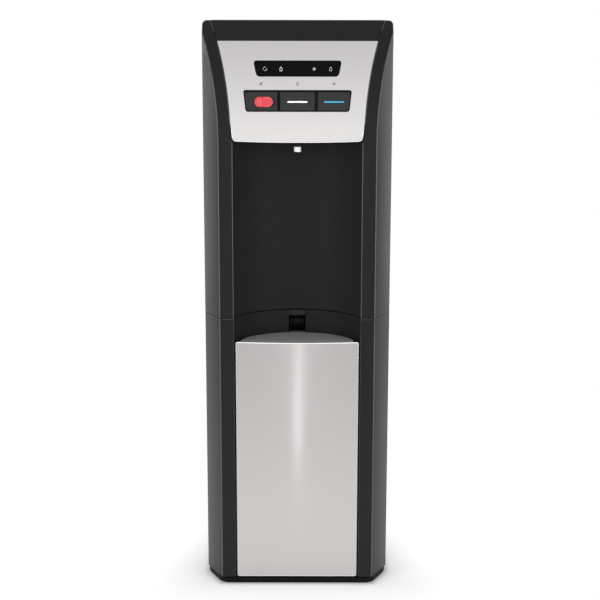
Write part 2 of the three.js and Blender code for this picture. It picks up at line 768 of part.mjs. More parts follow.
function makeDoorShell() {
  const region = box(-far, far, -far, wingEndY, doorBottom, doorTop);
  const bottomWeb = common(envelope(0), box(-far, far, -far, doorBackY, doorBottom, doorBottom + doorWall));
  const post = (z0, z1, radius, sides) => rod([hingeX, hingeY, z0], [hingeX, hingeY, z1], radius, sides);
  const boss = (z0, z1) => common(post(z0, z1, hingeRound, 32), envelope(0));
  const bosses = [boss(doorBottom, doorBottom + hingeBossHeight), boss(doorTop - hingeBossHeight, doorTop)];
  const walls = common(join(shell(0, doorWall), bottomWeb), region);
  const skinPocket = cut(box(-alcoveHalf, alcoveHalf, -far, 0, 0, trayLevel + 1), envelope(skinRim + fitGap));
  const alcove = box(-alcoveHalf, alcoveHalf, -far, 0, trayLevel - 0.5, far);
  const pastHinge = cut(
    box(hingeX - hingeRound, far, hingeY, far, 0, far),
    post(-1, far, hingeRound, 32),
  );
  const boreRadius = hingePinRadius + pinClearance;
  const bores = [
    post(0, doorBottom + pinEngagement + 2, boreRadius, 24),
    post(doorTop - pinEngagement - 2, far, boreRadius, 24),
  ];
  const carried = cut(walls, skinPocket, alcove, pastHinge);
  const backing = common(
    shell(skinRim + fitGap, skinRim + fitGap + doorWall),
    box(-alcoveHalf - 6, alcoveHalf + 6, -far, 0, doorBottom, trayLevel - 0.5),
  );
  return cut(join(carried, backing, ...bosses), ...bores);
}

function skinOutline(grow) {
  const half = alcoveHalf - skinSideGap + grow;
  const bottom = doorBottom + skinBottomGap - grow;
  const points = [[-half, bottom], [half, bottom]];
  const steps = 12;
  for (let i = 0; i <= steps; i++) {
    const x = half - (2 * half * i) / steps;
    points.push([x, trayLevel + grow - skinDip * (1 - (x / half) ** 2)]);
  }
  return polygon(points);
}

function makeDoorSkin() {
  const pan = frontal(skinOutline(0), frontY, frontY + skinRim);
  return cut(pan, frontal(skinOutline(-skinSheet), frontY + skinSheet, frontY + skinRim + 1));
}

const cupFrontY = frontY + skinRim + 2 * fitGap + doorWall;
const pullBottom = trayLevel - 0.8;

// lower part of the alcove: round wall, floor under the drip tray, and the rim that closes the door's top
function makeDoorCup() {
  const outer = alcoveArcRadius + linerWall;
  const inFront = box(-far, far, cupFrontY, far, 0, far);
  const bowl = common(alcoveDisc(outer, cupFloor - linerWall, doorTop), inFront);
  const inner = alcoveDisc(alcoveArcRadius, cupFloor, far);
  const hollow = common(inner, box(-far, far, cupFrontY + linerWall, far, 0, far));
  const openHalf = alcoveHalf + 12;
  const openFront = box(-openHalf, openHalf, -far, cupFrontY + linerWall + 1, trayLevel - 1, far);
  const lid = box(-far, far, cupFrontY, wingEndY - 1, doorTop - linerWall, doorTop);
  const hingeSpace = rod([hingeX, hingeY, 0], [hingeX, hingeY, far], hingeRound + fitGap, 32);
  const rim = cut(common(envelope(doorWall + fitGap), lid), hingeSpace);
  const pullHalf = pullWidth / 2;
  const wallY = frontY + alcoveDepth;
  const blockHalf = pullHalf + linerWall;
  const blockBackY = wallY + pullDepth + linerWall;
  const pullBlock = box(-blockHalf, blockHalf, wallY - 10, blockBackY, pullBottom - linerWall, doorTop);
  const pullHollow = box(-pullHalf, pullHalf, wallY - 12, wallY + pullDepth, pullBottom, far);
  const pullOuter = cut(pullBlock, alcoveDisc(outer - 1, 0, far));
  return cut(join(cut(join(bowl, rim), hollow, openFront), pullOuter), pullHollow);
}

const catchTop = doorTop - fitGap;
const catchHeight = 11;
const catchProud = 1.5;

function makeDoorCatch() {
  const half = pullWidth / 2 - moveGap;
  const wallY = frontY + alcoveDepth;
  const back = wallY + pullDepth - moveGap - catchTravel;
  return box(-half, half, wallY - catchProud, back, catchTop - catchHeight, catchTop);
}

function makeDoorLiner() {
  const half = faceWidth / 2 + 4;
  const top = doorTop - linerWall - 2 * fitGap;
  const shoulder = cupFloor - linerWall - 2 * fitGap;
  const cupHalf = alcoveArcRadius + linerWall + 2;
  const plate = cut(
    box(-half, half, doorBackY - linerWall, doorBackY, doorBottom + doorWall + fitGap, top),
    box(-cupHalf, cupHalf, -far, far, shoulder, far),
  );
  const rimHalf = alcoveHalf + 8;
  const front = frontY + skinRim + doorWall + 2 * fitGap;
  const low = doorBottom + doorWall + 4;
  const rim = cut(
    box(-rimHalf, rimHalf, front, doorBackY - 1, low, shoulder - 4),
    box(-rimHalf + linerWall, rimHalf - linerWall, -far, 0, low + linerWall, shoulder - 4 - linerWall),
  );
  return join(common(plate, envelope(doorWall + fitGap)), rim);
}

const magnetHeight = 36;
const magnetZ = doorTop - magnetHeight - 17.3;
const magnetX = -halfWidth + 12;
const magnetWidth = 13;
const magnetDepth = 12;
const strikerThickness = 2.4;

function makeDoorMagnet() {
  const front = sidePanelY - magnetDepth;
  const top = magnetZ + magnetHeight;
  return box(magnetX, magnetX + magnetWidth, front, sidePanelY - fitGap, magnetZ, top);
}

function makeDoorStriker() {
  const back = sidePanelY - magnetDepth - 2 * fitGap;
  const side = magnetX + magnetWidth;
  const plate = box(-far, side, back - strikerThickness, back, magnetZ, magnetZ + magnetHeight);
  return common(plate, envelope(doorWall + fitGap));
}

// a flat leaf between two heights, with a pin that stands out of it
function hinge(leafBottom, leafTop, pinBottom, pinTop) {
  const tab = box(hingeX - hingeLeaf, hingeX + 4, hingeY - 4, sidePanelY - fitGap, leafBottom, leafTop);
  const leaf = common(tab, envelope(shellWall + fitGap));
  return join(leaf, rod([hingeX, hingeY, pinBottom], [hingeX, hingeY, pinTop], hingePinRadius, 24));
}

// below the door
function makeLowerHinge() {
  return hinge(plinthTop + fitGap, plinthTop + 2, plinthTop + 1, doorBottom + pinEngagement);
}

// above the door, held under the front frame's wall
function makeUpperHinge() {
  return hinge(upperLeafBottom, upperLeafBottom + 3, doorTop - pinEngagement, upperLeafBottom + 1);
}

// ---------------------------------------------------------------- drip tray
// the tray's plan: straight sides and the alcove's round back, moved in by a distance
function trayPlan(inset, z0, z1) {
  const disc = alcoveDisc(alcoveArcRadius - trayClearance - inset, z0, z1);
  const front = cupFrontY + linerWall + trayClearance + inset;
  return common(disc, box(-trayHalfWidth + inset, trayHalfWidth - inset, front, far, z0, z1));
}

function makeDripTray() {
  const top = trayLevel - plateThickness - fitGap;
  const basin = cut(trayPlan(0, trayBottom, top), trayPlan(trayWall, trayBottom + trayWall, top + 1));
  const ribs = [-1, 1].map((sign) => {
    const x = sign * trayRibX;
    const web = box(x - trayRib / 2, x + trayRib / 2, -far, far, 0, far);
    return common(trayPlan(trayWall / 2, trayBottom + 1, top), web);
  });
  return join(basin, ...ribs);
}

// the plate that cups stand on: its ends lean in towards the back
function makeDripPlate() {
  const front = cupFrontY + linerWall + trayClearance;
  const back = alcoveCentreY + alcoveArcRadius;
  const half = trayHalfWidth - plateInset;
  const slope = plateTaper / (alcoveArcRadius - alcoveDepth);
  const backHalf = half - slope * (back - front);
  const ends = upright(polygon([[-half, front], [half, front], [backHalf, back], [-backHalf, back]]), 0, far);
  return common(trayPlan(plateInset, trayLevel - plateThickness, trayLevel), ends);
}

// ---------------------------------------------------------------- bottle probe
function makeProbeCap() {
  const top = probeCapBottom + probeCapHeight;
  return turned([
    [probeTubeRadius + fitGap, probeCapBottom],
    [probeCapRadius - probeRim, probeCapBottom],
    [probeCapRadius - probeRim, top - probeRimHeight],
    [probeCapRadius, top - probeRimHeight],
    [probeCapRadius, top - 4],
    [probeCapRadius - 4, top],
    [probeTubeRadius + fitGap, top],
    [probeTubeRadius + fitGap, probeCapBottom],
  ], probeX, probeY, 20);
}

const probeTubeTop = probeCapBottom + probeCapHeight - 4;

function makeProbeTube() {
  return turned([
    [0, probeTubeBottom],
    [probeTubeRadius, probeTubeBottom],
    [probeTubeRadius, probeTubeTop],
    [0, probeTubeTop],
  ], probeX, probeY, 16);
}

const inletRise = 46; // the pump's inlet above the shelf
const inletBottom = shelfHeight + inletRise;

function makeProbeHose() {
  return turned([
    [0, probeTubeTop + fitGap],
    [hoseRadius, probeTubeTop + fitGap],
    [hoseRadius, inletBottom + 10],
    [0, inletBottom + 10],
  ], probeX, probeY, 14);
}

// fork on the side panel that the probe's rim hangs on
function makeProbeHolder() {
  const rimUnderside = probeCapBottom + probeCapHeight - probeRimHeight;
  const top = rimUnderside - fitGap;
  const wallX = -halfWidth + sheet + fitGap;
  const half = probeCapRadius + 3;
  const arm = box(wallX, probeX + half - 2, probeY - half, probeY + half, top - holderThickness, top);
  const plate = box(wallX, wallX + 3, probeY - half, probeY + half, top - holderHeight, top);
  const slotRadius = probeCapRadius - probeRim + 0.8;
  const mouth = join(
    rod([probeX, probeY, 0], [probeX, probeY, top + 1], slotRadius, 20),
    box(probeX - slotRadius, probeX + slotRadius, -far, probeY, 0, top + 1),
  );
  return cut(join(arm, plate), mouth);
}

// ---------------------------------------------------------------- tanks, pump and hoses
const tankBase = shelfHeight + sheet + fitGap;
const tankY = -15; // both tanks' axes, forward of the middle
const tankGap = 12; // between the foam jacket and the hot tank
const coldRadius = 56;
const foamWall = 20;
const coldHeight = 170;
const hotRadius = 52;
const hotHeight = 150;
const hotLegs = 24;
const neckHeight = 18;
const tankSides = 18;
const hotX = halfWidth - sheet - hotRadius - 29.8;
const hotY = tankY + 5;
const coldX = hotX - hotRadius - tankGap - foamWall - coldRadius - 14;
const coldY = tankY - 5;

// a thin-walled tank with an open neck on top
function vessel(x, y, radius, z0, z1, wall) {
  return turned([
    [0, z0],
    [radius - 8, z0],
    [radius, z0 + 8],
    [radius, z1 - 8],
    [radius - 8, z1],
    [portRadius, z1],
    [portRadius, z1 + neckHeight],
    [portRadius - wall, z1 + neckHeight],
    [portRadius - wall, z1 - wall],
    [radius - 8 - wall / 2, z1 - wall],
    [radius - wall, z1 - 8 - wall / 2],
    [radius - wall, z0 + 8 + wall / 2],
    [radius - 8 - wall / 2, z0 + wall],
    [0, z0 + wall],
  ], x, y, tankSides);
}

const coldTankBottom = tankBase + foamWall + fitGap;

function makeColdTank() {
  return vessel(coldX, coldY, coldRadius, coldTankBottom, coldTankBottom + coldHeight, 1.2);
}

function makeColdJacket() {
  const inner = coldRadius + fitGap;
  const outer = inner + foamWall;
  const top = coldTankBottom + coldHeight - 10;
  return turned([
    [0, tankBase],
    [outer, tankBase],
    [outer, top],
    [inner, top],
    [inner, coldTankBottom - fitGap],
    [0, coldTankBottom - fitGap],
  ], coldX, coldY, tankSides);
}

function makeHotTank() {
  const bottom = tankBase + hotLegs;
  const legs = [0, 1, 2].map((i) => {
    const angle = (i * 2 * Math.PI) / 3;
    const x = hotX + (hotRadius - 16) * Math.cos(angle);
    const y = hotY + (hotRadius - 16) * Math.sin(angle);
    return rod([x, y, tankBase], [x, y, bottom + 0.8], 4, 8);
  });
  return join(vessel(hotX, hotY, hotRadius, bottom, bottom + hotHeight, 1.5), ...legs);
}

const pumpRadius = 26;
const pumpHeight = 76.5;
const pumpX = probeX + 30;
const pumpY = rearY - sheet - 2 * pumpRadius;
const pumpTop = tankBase + pumpHeight;
const sleeveTop = inletBottom + probeLift + 20;
const sleeveBore = hoseRadius + 0.5;

function makePump() {
  const body = rod([pumpX, pumpY, tankBase], [pumpX, pumpY, pumpTop], pumpRadius, 24);
  const sleeve = rod([probeX, probeY, inletBottom], [probeX, probeY, sleeveTop], sleeveBore + 2.5, 16);
  const arm = rod([probeX, probeY, inletBottom + 12], [pumpX, pumpY, inletBottom + 12], 6, 12);
  const outlet = rod([pumpX, pumpY, pumpTop - 1], [pumpX, pumpY, pumpTop + 12], portRadius, 12);
  const bore = rod([probeX, probeY, inletBottom - 1], [probeX, probeY, sleeveTop - 2], sleeveBore, 16);
  return cut(join(body, sleeve, arm, outlet), bore);
}

const hoseBore = portRadius + 0.15;
const hoseOuter = 5;

// a hose pushed over a port at each end: a solid line with a socket at both ends
function hose(points, startDirection, endDirection, steps, socketLength = 9) {
  const body = pipe(points, hoseOuter, steps);
  const first = new THREE.Vector3(...points[0]);
  const last = new THREE.Vector3(...points[points.length - 1]);
  const sockets = [[first, startDirection], [last, endDirection]].map(([end, direction]) => {
    const into = new THREE.Vector3(...direction);
    const from = end.clone().addScaledVector(into, -2);
    const to = end.clone().addScaledVector(into, socketLength);
    return rod(from.toArray(), to.toArray(), hoseBore, 12);
  });
  return cut(body, ...sockets);
}

const hoseStartY = manifoldBackY + 4;
const hoseBack = [0, 1, 0];
const hoseDown = [0, 0, 1];

function manifoldEnd(index) {
  const x = index * portSpacing;
  return [[x, hoseStartY + 22, portZ], [x, hoseStartY + 11, portZ], [x, hoseStartY, portZ]];
}

// hose from a tank's neck up and over to the dispensing head
function tankHose(x, y, neckTop, index) {
  const start = neckTop - 9;
  return hose([
    [x, y, start],
    [x, y, start + 12],
    [x, y, start + 26],
    [(x + index * portSpacing) / 2, (y + portEndY + 20) / 2, portZ + 6],
    ...manifoldEnd(index),
  ], hoseDown, hoseBack, 14);
}

const coldNeckTop = coldTankBottom + coldHeight + neckHeight;
const hotNeckTop = tankBase + hotLegs + hotHeight + neckHeight;

const roomHoseRun = 40; // sideways sweep of the hose between the pump and the dispensing head

function makeRoomHose() {
  const start = pumpTop + 4;
  return hose([
    [pumpX, pumpY, start],
    [pumpX, pumpY, start + 14],
    [pumpX, pumpY, start + 40],
    [pumpX + roomHoseRun, pumpY - roomHoseRun, portZ - roomHoseRun],
    [-roomHoseRun, hoseStartY + 4 * roomHoseRun, portZ - 6],
    ...manifoldEnd(0),
  ], hoseDown, hoseBack, 18);
}

// ---------------------------------------------------------------- cooling unit and rear fittings
const compressorFromSide = 125;
const compressorX = -halfWidth + compressorFromSide;
const compressorRadius = 40;
const compressorHeight = 150;
const compressorFoot = 16.2; // rubber mounts
const compressorPlate = 140; // width of its base plate
const compressorY = (bayRearY + rearY) / 2;

function makeCompressor() {
  const y = compressorY;
  const floor = footHeight + plinthWall + fitGap;
  const base = floor + compressorFoot;
  const top = base + compressorHeight;
  const radius = compressorRadius;
  const body = turned([
    [0, base],
    [0.8 * radius, base],
    [radius, base + 0.25 * radius],
    [radius, top - 0.75 * radius],
    [0.75 * radius, top - 0.2 * radius],
    [0.4 * radius, top],
    [0, top],
  ], compressorX, y, 20);
  const half = compressorPlate / 2;
  const depth = 0.65 * radius;
  const plate = box(compressorX - half, compressorX + half, y - depth, y + depth, base - 2, base + 1);
  const mounts = [[-1, -1], [1, -1], [-1, 1], [1, 1]].map(([side, end]) => {
    const mountX = compressorX + side * (half - 10);
    const mountY = y + end * 0.4 * radius;
    return rod([mountX, mountY, floor], [mountX, mountY, base - 1], 7, 12);
  });
  return join(body, plate, ...mounts);
}

const dryerRadius = 9;
const dryerLength = 112;
const dryerBottom = 120;
const dryerFromSide = 93;
const dryerX = halfWidth - dryerFromSide;
const dryerNeck = 4;

function makeFilterDryer() {
  const y = bayRearY + sheet + fitGap + dryerRadius;
  const top = dryerBottom + dryerLength;
  return turned([
    [0, dryerBottom],
    [dryerNeck, dryerBottom],
    [dryerRadius, dryerBottom + dryerRadius],
    [dryerRadius, top - dryerRadius],
    [dryerNeck, top],
    [0, top],
  ], dryerX, y, 16);
}

function makeCondenser() {
  const y = bodyDepth / 2 - 1.6 - coilTube;
  const bend = coilPitch / 2;
  const endX = coilHalfWidth - bend;
  const overlap = 0.3;
  const pieces = [];
  for (let run = 0; run < coilRuns; run++) {
    const z = coilBottom + run * coilPitch;
    pieces.push(rod([-endX - overlap, y, z], [endX + overlap, y, z], coilTube, 6));
    if (run === coilRuns - 1) break;
    const sign = run % 2 === 0 ? 1 : -1;
    const points = [];
    for (let i = 0; i <= 6; i++) {
      const angle = -Math.PI / 2 + (Math.PI * i) / 6;
      points.push([sign * (endX + bend * Math.cos(angle)), y, z + bend + bend * Math.sin(angle)]);
    }
    pieces.push(pipe(points, coilTube, 6, 6));
  }
  const top = coilBottom + (coilRuns - 1) * coilPitch + 14;
  const rails = [-1, 1].map((sign) => {
    const x = sign * (coilHalfWidth - 34);
    return box(x - 5, x + 5, rearY + fitGap, bodyDepth / 2, coilBottom - 14, top);
  });
  return join(...pieces, ...rails);
}

const supplyDrop = 98; // power supply below the top
const supplyWidth = 120;
const supplyDepth = 46;
const supplyHeight = 90;
const supplyFromSide = 95;
const supplyX = halfWidth - supplyFromSide;

function makePowerSupply() {
  const back = rearY - sheet - fitGap;
  const top = bodyHeight - supplyDrop;
  const half = supplyWidth / 2;
  return box(supplyX - half, supplyX + half, back - supplyDepth, back, top - supplyHeight, top);
}

const switchPlateDrop = 37; // switch plate below the top
const switchPlateHeight = 46;
const switchPlateWidth = 76;
const switchPlateZ = bodyHeight - switchPlateDrop - switchPlateHeight;
const rockerSpots = [-17, 17];
const rockerWidth = 15;
const rockerHeight = 24;
const switchPlateDepth = 9;
const switchFromSide = 85;
const switchX = -halfWidth + switchFromSide;

function makeSwitchPlate() {
  const y0 = rearY + fitGap;
  const middle = switchPlateZ + switchPlateHeight / 2;
  const y1 = y0 + switchPlateDepth;
  const half = switchPlateWidth / 2;
  const top = switchPlateZ + switchPlateHeight;
  const plate = box(switchX - half, switchX + half, y0, y1, switchPlateZ, top);
  const wellHalf = rockerWidth / 2 + moveGap;
  const wellReach = rockerHeight / 2 + 2 * moveGap;
  const wells = rockerSpots.map((offset) => {
    const x = switchX + offset;
    return box(x - wellHalf, x + wellHalf, y0 + sheet, y1 + 1, middle - wellReach, middle + wellReach);
  });
  return cut(plate, ...wells);
}

// a rocker, drawn about its pivot: pressed in at the top, standing proud at the bottom
function makeRocker() {
  const face = polygon([
    [1.6, rockerHeight / 2],
    [-3.2, rockerHeight / 2 - 1],
    [-3.2, 2],
    [-4.4, -1],
    [-1.8, -rockerHeight / 2 + 1],
    [3.6, -rockerHeight / 2],
    [1.8, 0],
  ]);
  return sideways(face, -rockerWidth / 2, rockerWidth / 2);
}

const drainFromSide = 79;
const drainX = halfWidth - drainFromSide;
const drainZ = guardTop + 22;
const drainRadius = 6;
const drainCapRadius = 11;

function makeDrainOutlet() {
  const flange = rod([drainX, rearY + fitGap, drainZ], [drainX, rearY + 2.5, drainZ], 13, 20);
  const spigot = rod([drainX, rearY + 1, drainZ], [drainX, rearY + 9, drainZ], drainRadius, 16);
  const bore = rod([drainX, rearY, drainZ], [drainX, rearY + 10, drainZ], drainRadius - 2, 12);
  return cut(join(flange, spigot), bore);
}

function makeDrainCap() {
  const cap = rod([drainX, rearY + 3, drainZ], [drainX, rearY + 12, drainZ], drainCapRadius, 16);
  const bore = rod([drainX, rearY + 2, drainZ], [drainX, rearY + 9.4, drainZ], drainRadius + 0.4, 16);
  return cut(cap, bore);
}

// ---------------------------------------------------------------- assembly
const dispenser = new THREE.Group();
const housing = new THREE.Group();
const door = new THREE.Group();
const controls = new THREE.Group();
dispenser.add(housing, door, controls);

function place(group, name, solid, look, position = [0, 0, 0]) {
  const mesh = new THREE.Mesh(toGeometry(solid), look());
  mesh.name = name;
  mesh.position.set(...position);
  group.add(mesh);
  return mesh;
}

// base
place(housing, "base_plinth", makePlinth(), blackPlastic);
footCentres.forEach(([x, y], i) => place(housing, `foot_pad_${i + 1}`, makeFootPad(), rubber, [x, y, 0]));
place(housing, "bottle_platform", makeBottlePlatform(), innerPlastic);

// cabinet
const sidePanel = makeSidePanel();
place(housing, "side_panel_right", sidePanel, paintedSteel);
place(housing, "side_panel_left", sidePanel.mirror([1, 0, 0]), paintedSteel);
place(housing, "mid_shelf", makeShelf(), zincSteel);
place(housing, "bay_rear_wall", makeBayRearWall(), innerPlastic);
place(housing, "rear_panel", makeRearPanel(), paintedSteel);
place(housing, "compressor_guard", makeCompressorGuard(), paintedSteel);
place(housing, "cord_gland", makeCordGland(), rubber);
place(housing, "top_cover", makeTopCover(), blackPlastic);

// upper front
place(housing, "front_frame", makeFrontFrame(), blackPlastic);
place(housing, "alcove_liner", makeAlcoveLiner(), linerPlastic);
place(housing, "control_panel", makeControlPanel(), silver);
place(housing, "display_window", makeDisplayWindow(), gloss);
place(housing, "display_board", makeDisplayBoard(), boardGreen);
place(housing, "button_bezel", makeButtonBezel(), blackPlastic);
place(housing, "switch_board", makeSwitchBoard(), boardGreen);
place(housing, "spout_nozzle", makeSpout(), whitePlastic);
place(housing, "spout_manifold", makeManifold(), whitePlastic);

// buttons
place(controls, "hot_button", cut(makeButton(0), lockPocket()), blackPlastic);
place(controls, "room_button", cut(makeButton(1), markRecess(0)), blackPlastic);
place(controls, "cold_button", cut(makeButton(2), markRecess(markOffset)), blackPlastic);
place(controls, "child_lock_slider", makeLockSlider(), redPlastic);
place(controls, "room_mark", makeMark(0), whitePlastic);
place(controls, "cold_mark", makeMark(markOffset), bluePlastic);

// door
place(door, "door_shell", makeDoorShell(), blackPlastic);
place(door, "door_skin", makeDoorSkin(), silver);
place(door, "door_liner", makeDoorLiner(), innerPlastic);
place(door, "door_cup", makeDoorCup(), linerPlastic);
place(door, "door_catch", makeDoorCatch(), blackPlastic);
place(door, "door_striker", makeDoorStriker(), zincSteel);
place(door, "drip_tray", makeDripTray(), blackPlastic);
place(door, "drip_plate", makeDripPlate(), greyPlastic);
place(housing, "door_magnet", makeDoorMagnet(), rubber);
place(housing, "lower_hinge", makeLowerHinge(), zincSteel);
place(housing, "upper_hinge", makeUpperHinge(), zincSteel);

// bottle probe
place(housing, "probe_holder", makeProbeHolder(), innerPlastic);
place(housing, "probe_cap", makeProbeCap(), bluePlastic);
place(housing, "probe_tube", makeProbeTube(), stainless);
place(housing, "probe_hose", makeProbeHose(), clearHose);

// water circuit
place(housing, "water_pump", makePump(), greyPlastic);
place(housing, "cold_tank", makeColdTank(), stainless);
place(housing, "cold_tank_jacket", makeColdJacket(), foam);
place(housing, "hot_tank", makeHotTank(), stainless);
place(housing, "hot_hose", tankHose(hotX, hotY, hotNeckTop, 1), clearHose);
place(housing, "cold_hose", tankHose(coldX, coldY, coldNeckTop, -1), clearHose);
place(housing, "room_hose", makeRoomHose(), clearHose);

// cooling unit and rear fittings
place(housing, "compressor", makeCompressor(), blackPaint);
place(housing, "filter_dryer", makeFilterDryer(), zincSteel);
place(housing, "condenser_coil", makeCondenser(), blackPaint);
place(housing, "power_supply", makePowerSupply(), greyPlastic);
place(housing, "switch_plate", makeSwitchPlate(), blackPlastic);
const rockerZ = switchPlateZ + switchPlateHeight / 2;
const rockerY = rearY + fitGap + switchPlateDepth - 2.2;
rockerSpots.forEach((spot, i) => {
  const name = ["heat_switch", "cool_switch"][i];
  place(housing, name, makeRocker(), redPlastic, [switchX + spot, rockerY, rockerZ]);
});
place(housing, "drain_outlet", makeDrainOutlet(), whitePlastic);
place(housing, "drain_cap", makeDrainCap(), whitePlastic);

export default dispenser;
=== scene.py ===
import json
import math
import bmesh
import bpy
import numpy as np
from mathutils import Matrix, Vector

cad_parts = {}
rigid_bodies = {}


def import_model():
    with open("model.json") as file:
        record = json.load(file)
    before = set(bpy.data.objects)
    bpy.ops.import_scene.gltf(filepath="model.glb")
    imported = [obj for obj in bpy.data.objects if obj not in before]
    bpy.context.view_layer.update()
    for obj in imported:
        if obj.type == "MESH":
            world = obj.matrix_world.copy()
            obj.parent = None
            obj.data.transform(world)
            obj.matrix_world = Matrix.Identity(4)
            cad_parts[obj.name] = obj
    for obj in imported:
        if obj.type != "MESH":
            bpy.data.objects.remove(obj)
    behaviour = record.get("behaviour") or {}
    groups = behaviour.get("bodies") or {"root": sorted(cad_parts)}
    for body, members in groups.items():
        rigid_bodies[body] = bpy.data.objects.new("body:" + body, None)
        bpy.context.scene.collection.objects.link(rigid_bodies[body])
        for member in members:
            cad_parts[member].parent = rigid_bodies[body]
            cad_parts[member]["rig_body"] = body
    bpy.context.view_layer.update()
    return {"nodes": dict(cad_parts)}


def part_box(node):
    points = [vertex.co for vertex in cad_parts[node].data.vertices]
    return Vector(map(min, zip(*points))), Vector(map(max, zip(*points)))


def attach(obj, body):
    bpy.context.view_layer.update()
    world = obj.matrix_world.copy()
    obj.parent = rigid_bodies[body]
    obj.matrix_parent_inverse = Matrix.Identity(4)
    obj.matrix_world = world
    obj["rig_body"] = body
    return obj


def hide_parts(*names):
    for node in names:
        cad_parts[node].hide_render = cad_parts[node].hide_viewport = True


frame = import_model()
nodes = frame["nodes"]
print("frame loaded:", len(nodes), "nodes")

mm = 0.001
merge = 1e-6  # points closer than this count as one
crispAngle = 40  # on a crisp piece, edges that turn by more degrees than this stay sharp
scene = bpy.context.scene

# the body's outer form: its front leans back near the top, its front corners are chamfered
frameLow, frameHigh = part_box("front_frame")
bodyForm = {
    "frontY": frameLow.y,
    "halfWidth": frameHigh.x,
    "top": frameHigh.z,
    "sweepHeight": 218 * mm,
    "sweepRadius": 350 * mm,
    "chamferRun": 30.5 * mm,
    "chamferDepth": 60 * mm,
    "pillar": 26.5 * mm,
    "narrowing": 2.5 * mm,
    "narrowingHeight": 40 * mm,
}


# how far the front has leaned back at a height: the rise of a circle that starts upright
def lean(height):
    rise = np.maximum(0.0, np.asarray(height) - bodyForm["top"] + bodyForm["sweepHeight"])
    return bodyForm["sweepRadius"] - np.sqrt(bodyForm["sweepRadius"] ** 2 - rise ** 2)


def frontSurface(height):
    return bodyForm["frontY"] + lean(height)


# half-width of the silver panel at a height: the front face's half-width, less the pillar
def panelHalf(height):
    crease = bodyForm["halfWidth"] - bodyForm["chamferRun"]
    crease = crease + lean(height) * bodyForm["chamferRun"] / bodyForm["chamferDepth"]
    rise = np.asarray(height) - bodyForm["top"] + bodyForm["sweepHeight"]
    share = np.clip(rise / bodyForm["narrowingHeight"], 0, 1)
    return crease - bodyForm["pillar"] + bodyForm["narrowing"] * share


def addToScene(name, data):
    made = bpy.data.objects.new(name, data)
    scene.collection.objects.link(made)
    return made


def centreOf(node):
    low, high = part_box(node)
    return (low + high) / 2


# where a round node's upright axis meets the floor
def axisOf(node):
    middle = centreOf(node)
    return middle.x, middle.y, 0


def radiusOf(node):
    low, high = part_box(node)
    return (high.y - low.y) / 2


# how far behind the body's front surface a node begins
def recessOf(node):
    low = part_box(node)[0]
    return low.y - float(frontSurface(low.z))


class Value:
    # a shader socket that can be added, multiplied and so on
    def __init__(self, tree, socket):
        self.tree = tree
        self.socket = socket

    def math(self, operation, other=None, swap=False):
        node = self.tree.nodes.new("ShaderNodeMath")
        node.operation = operation
        pair = [other, self] if swap else [self, other]
        for slotIndex, item in enumerate(pair):
            if isinstance(item, Value):
                self.tree.links.new(item.socket, node.inputs[slotIndex])
            elif item is not None:
                node.inputs[slotIndex].default_value = item
        return Value(self.tree, node.outputs[0])

    def __add__(self, other):
        return self.math("ADD", other)

    __radd__ = __add__

    def __sub__(self, other):
        return self.math("SUBTRACT", other)

    def __rsub__(self, other):
        return self.math("SUBTRACT", other, swap=True)

    def __mul__(self, other):
        return self.math("MULTIPLY", other)

    __rmul__ = __mul__

    def __truediv__(self, other):
        return self.math("DIVIDE", other)

    def __rtruediv__(self, other):
        return self.math("DIVIDE", other, swap=True)

    def __pow__(self, other):
        return self.math("POWER", other)

    def __abs__(self):
        return self.math("ABSOLUTE")

    def atLeast(self, other):
        return self.math("MAXIMUM", other)

    def clamped(self):
        return self.atLeast(0.0).math("MINIMUM", 1.0)


class Shader:
    # builds the node tree of a material or a world
    def __init__(self, owner):
        owner.use_nodes = True
        self.tree = owner.node_tree
        self.tree.nodes.clear()

    # one node: its settings first, then its sockets' values or links
    def node(self, kind, settings=None, inputs=None, out=0):
        made = self.tree.nodes.new(kind)
        for key, value in (settings or {}).items():
            setattr(made, key, value)
        for key, value in (inputs or {}).items():
            if isinstance(value, Value):
                self.tree.links.new(value.socket, made.inputs[key])
            else:
                made.inputs[key].default_value = value
        return Value(self.tree, made.outputs[out]) if made.outputs else None

    def noise(self, scale, stretch=(1, 1, 1), detail=2.0):
        coordinates = self.node("ShaderNodeTexCoord", out="Object")
        mapped = self.node("ShaderNodeMapping", {}, {"Vector": coordinates, "Scale": stretch})
        return self.node("ShaderNodeTexNoise", {}, {"Vector": mapped, "Scale": scale, "Detail": detail})

    def axis(self, name, source="Object"):
        coordinates = self.node("ShaderNodeTexCoord", out=source)
        return self.node("ShaderNodeSeparateXYZ", {}, {0: coordinates}, out=name)

    def blend(self, factor, first, second):
        return self.node("ShaderNodeMix", {"data_type": "RGBA"}, {0: factor, 6: first, 7: second}, out=2)

    def mixed(self, factor, first, second):
        return self.node("ShaderNodeMixShader", {}, {0: factor, 1: first, 2: second})

    def ray(self, name):
        return self.node("ShaderNodeLightPath", out="Is %s Ray" % name)

    def shownRays(self):
        return (self.ray("Camera") + self.ray("Glossy") + self.ray("Transmission")).clamped()


def rgb(red, green, blue):
    return (red, green, blue, 1.0)


white = rgb(1, 1, 1)

# camera: its height, distance and lens frame the whole body, seen a little from above
cameraSetup = {
    "lens": 81.0,
    "place": (0.0059, -2.649, 1.0735),
    "pitch": 11.836,  # degrees below level
    "roll": -0.09,
    "yaw": 0.038,
}


def addCamera():
    data = bpy.data.cameras.new("camera")
    data.lens = cameraSetup["lens"]
    data.sensor_width = 36
    camera = addToScene("camera", data)
    camera.location = cameraSetup["place"]
    turn = [90 - cameraSetup["pitch"], cameraSetup["roll"], cameraSetup["yaw"]]
    camera.rotation_euler = [math.radians(angle) for angle in turn]
    scene.camera = camera
    scene.view_settings.view_transform = "Standard"


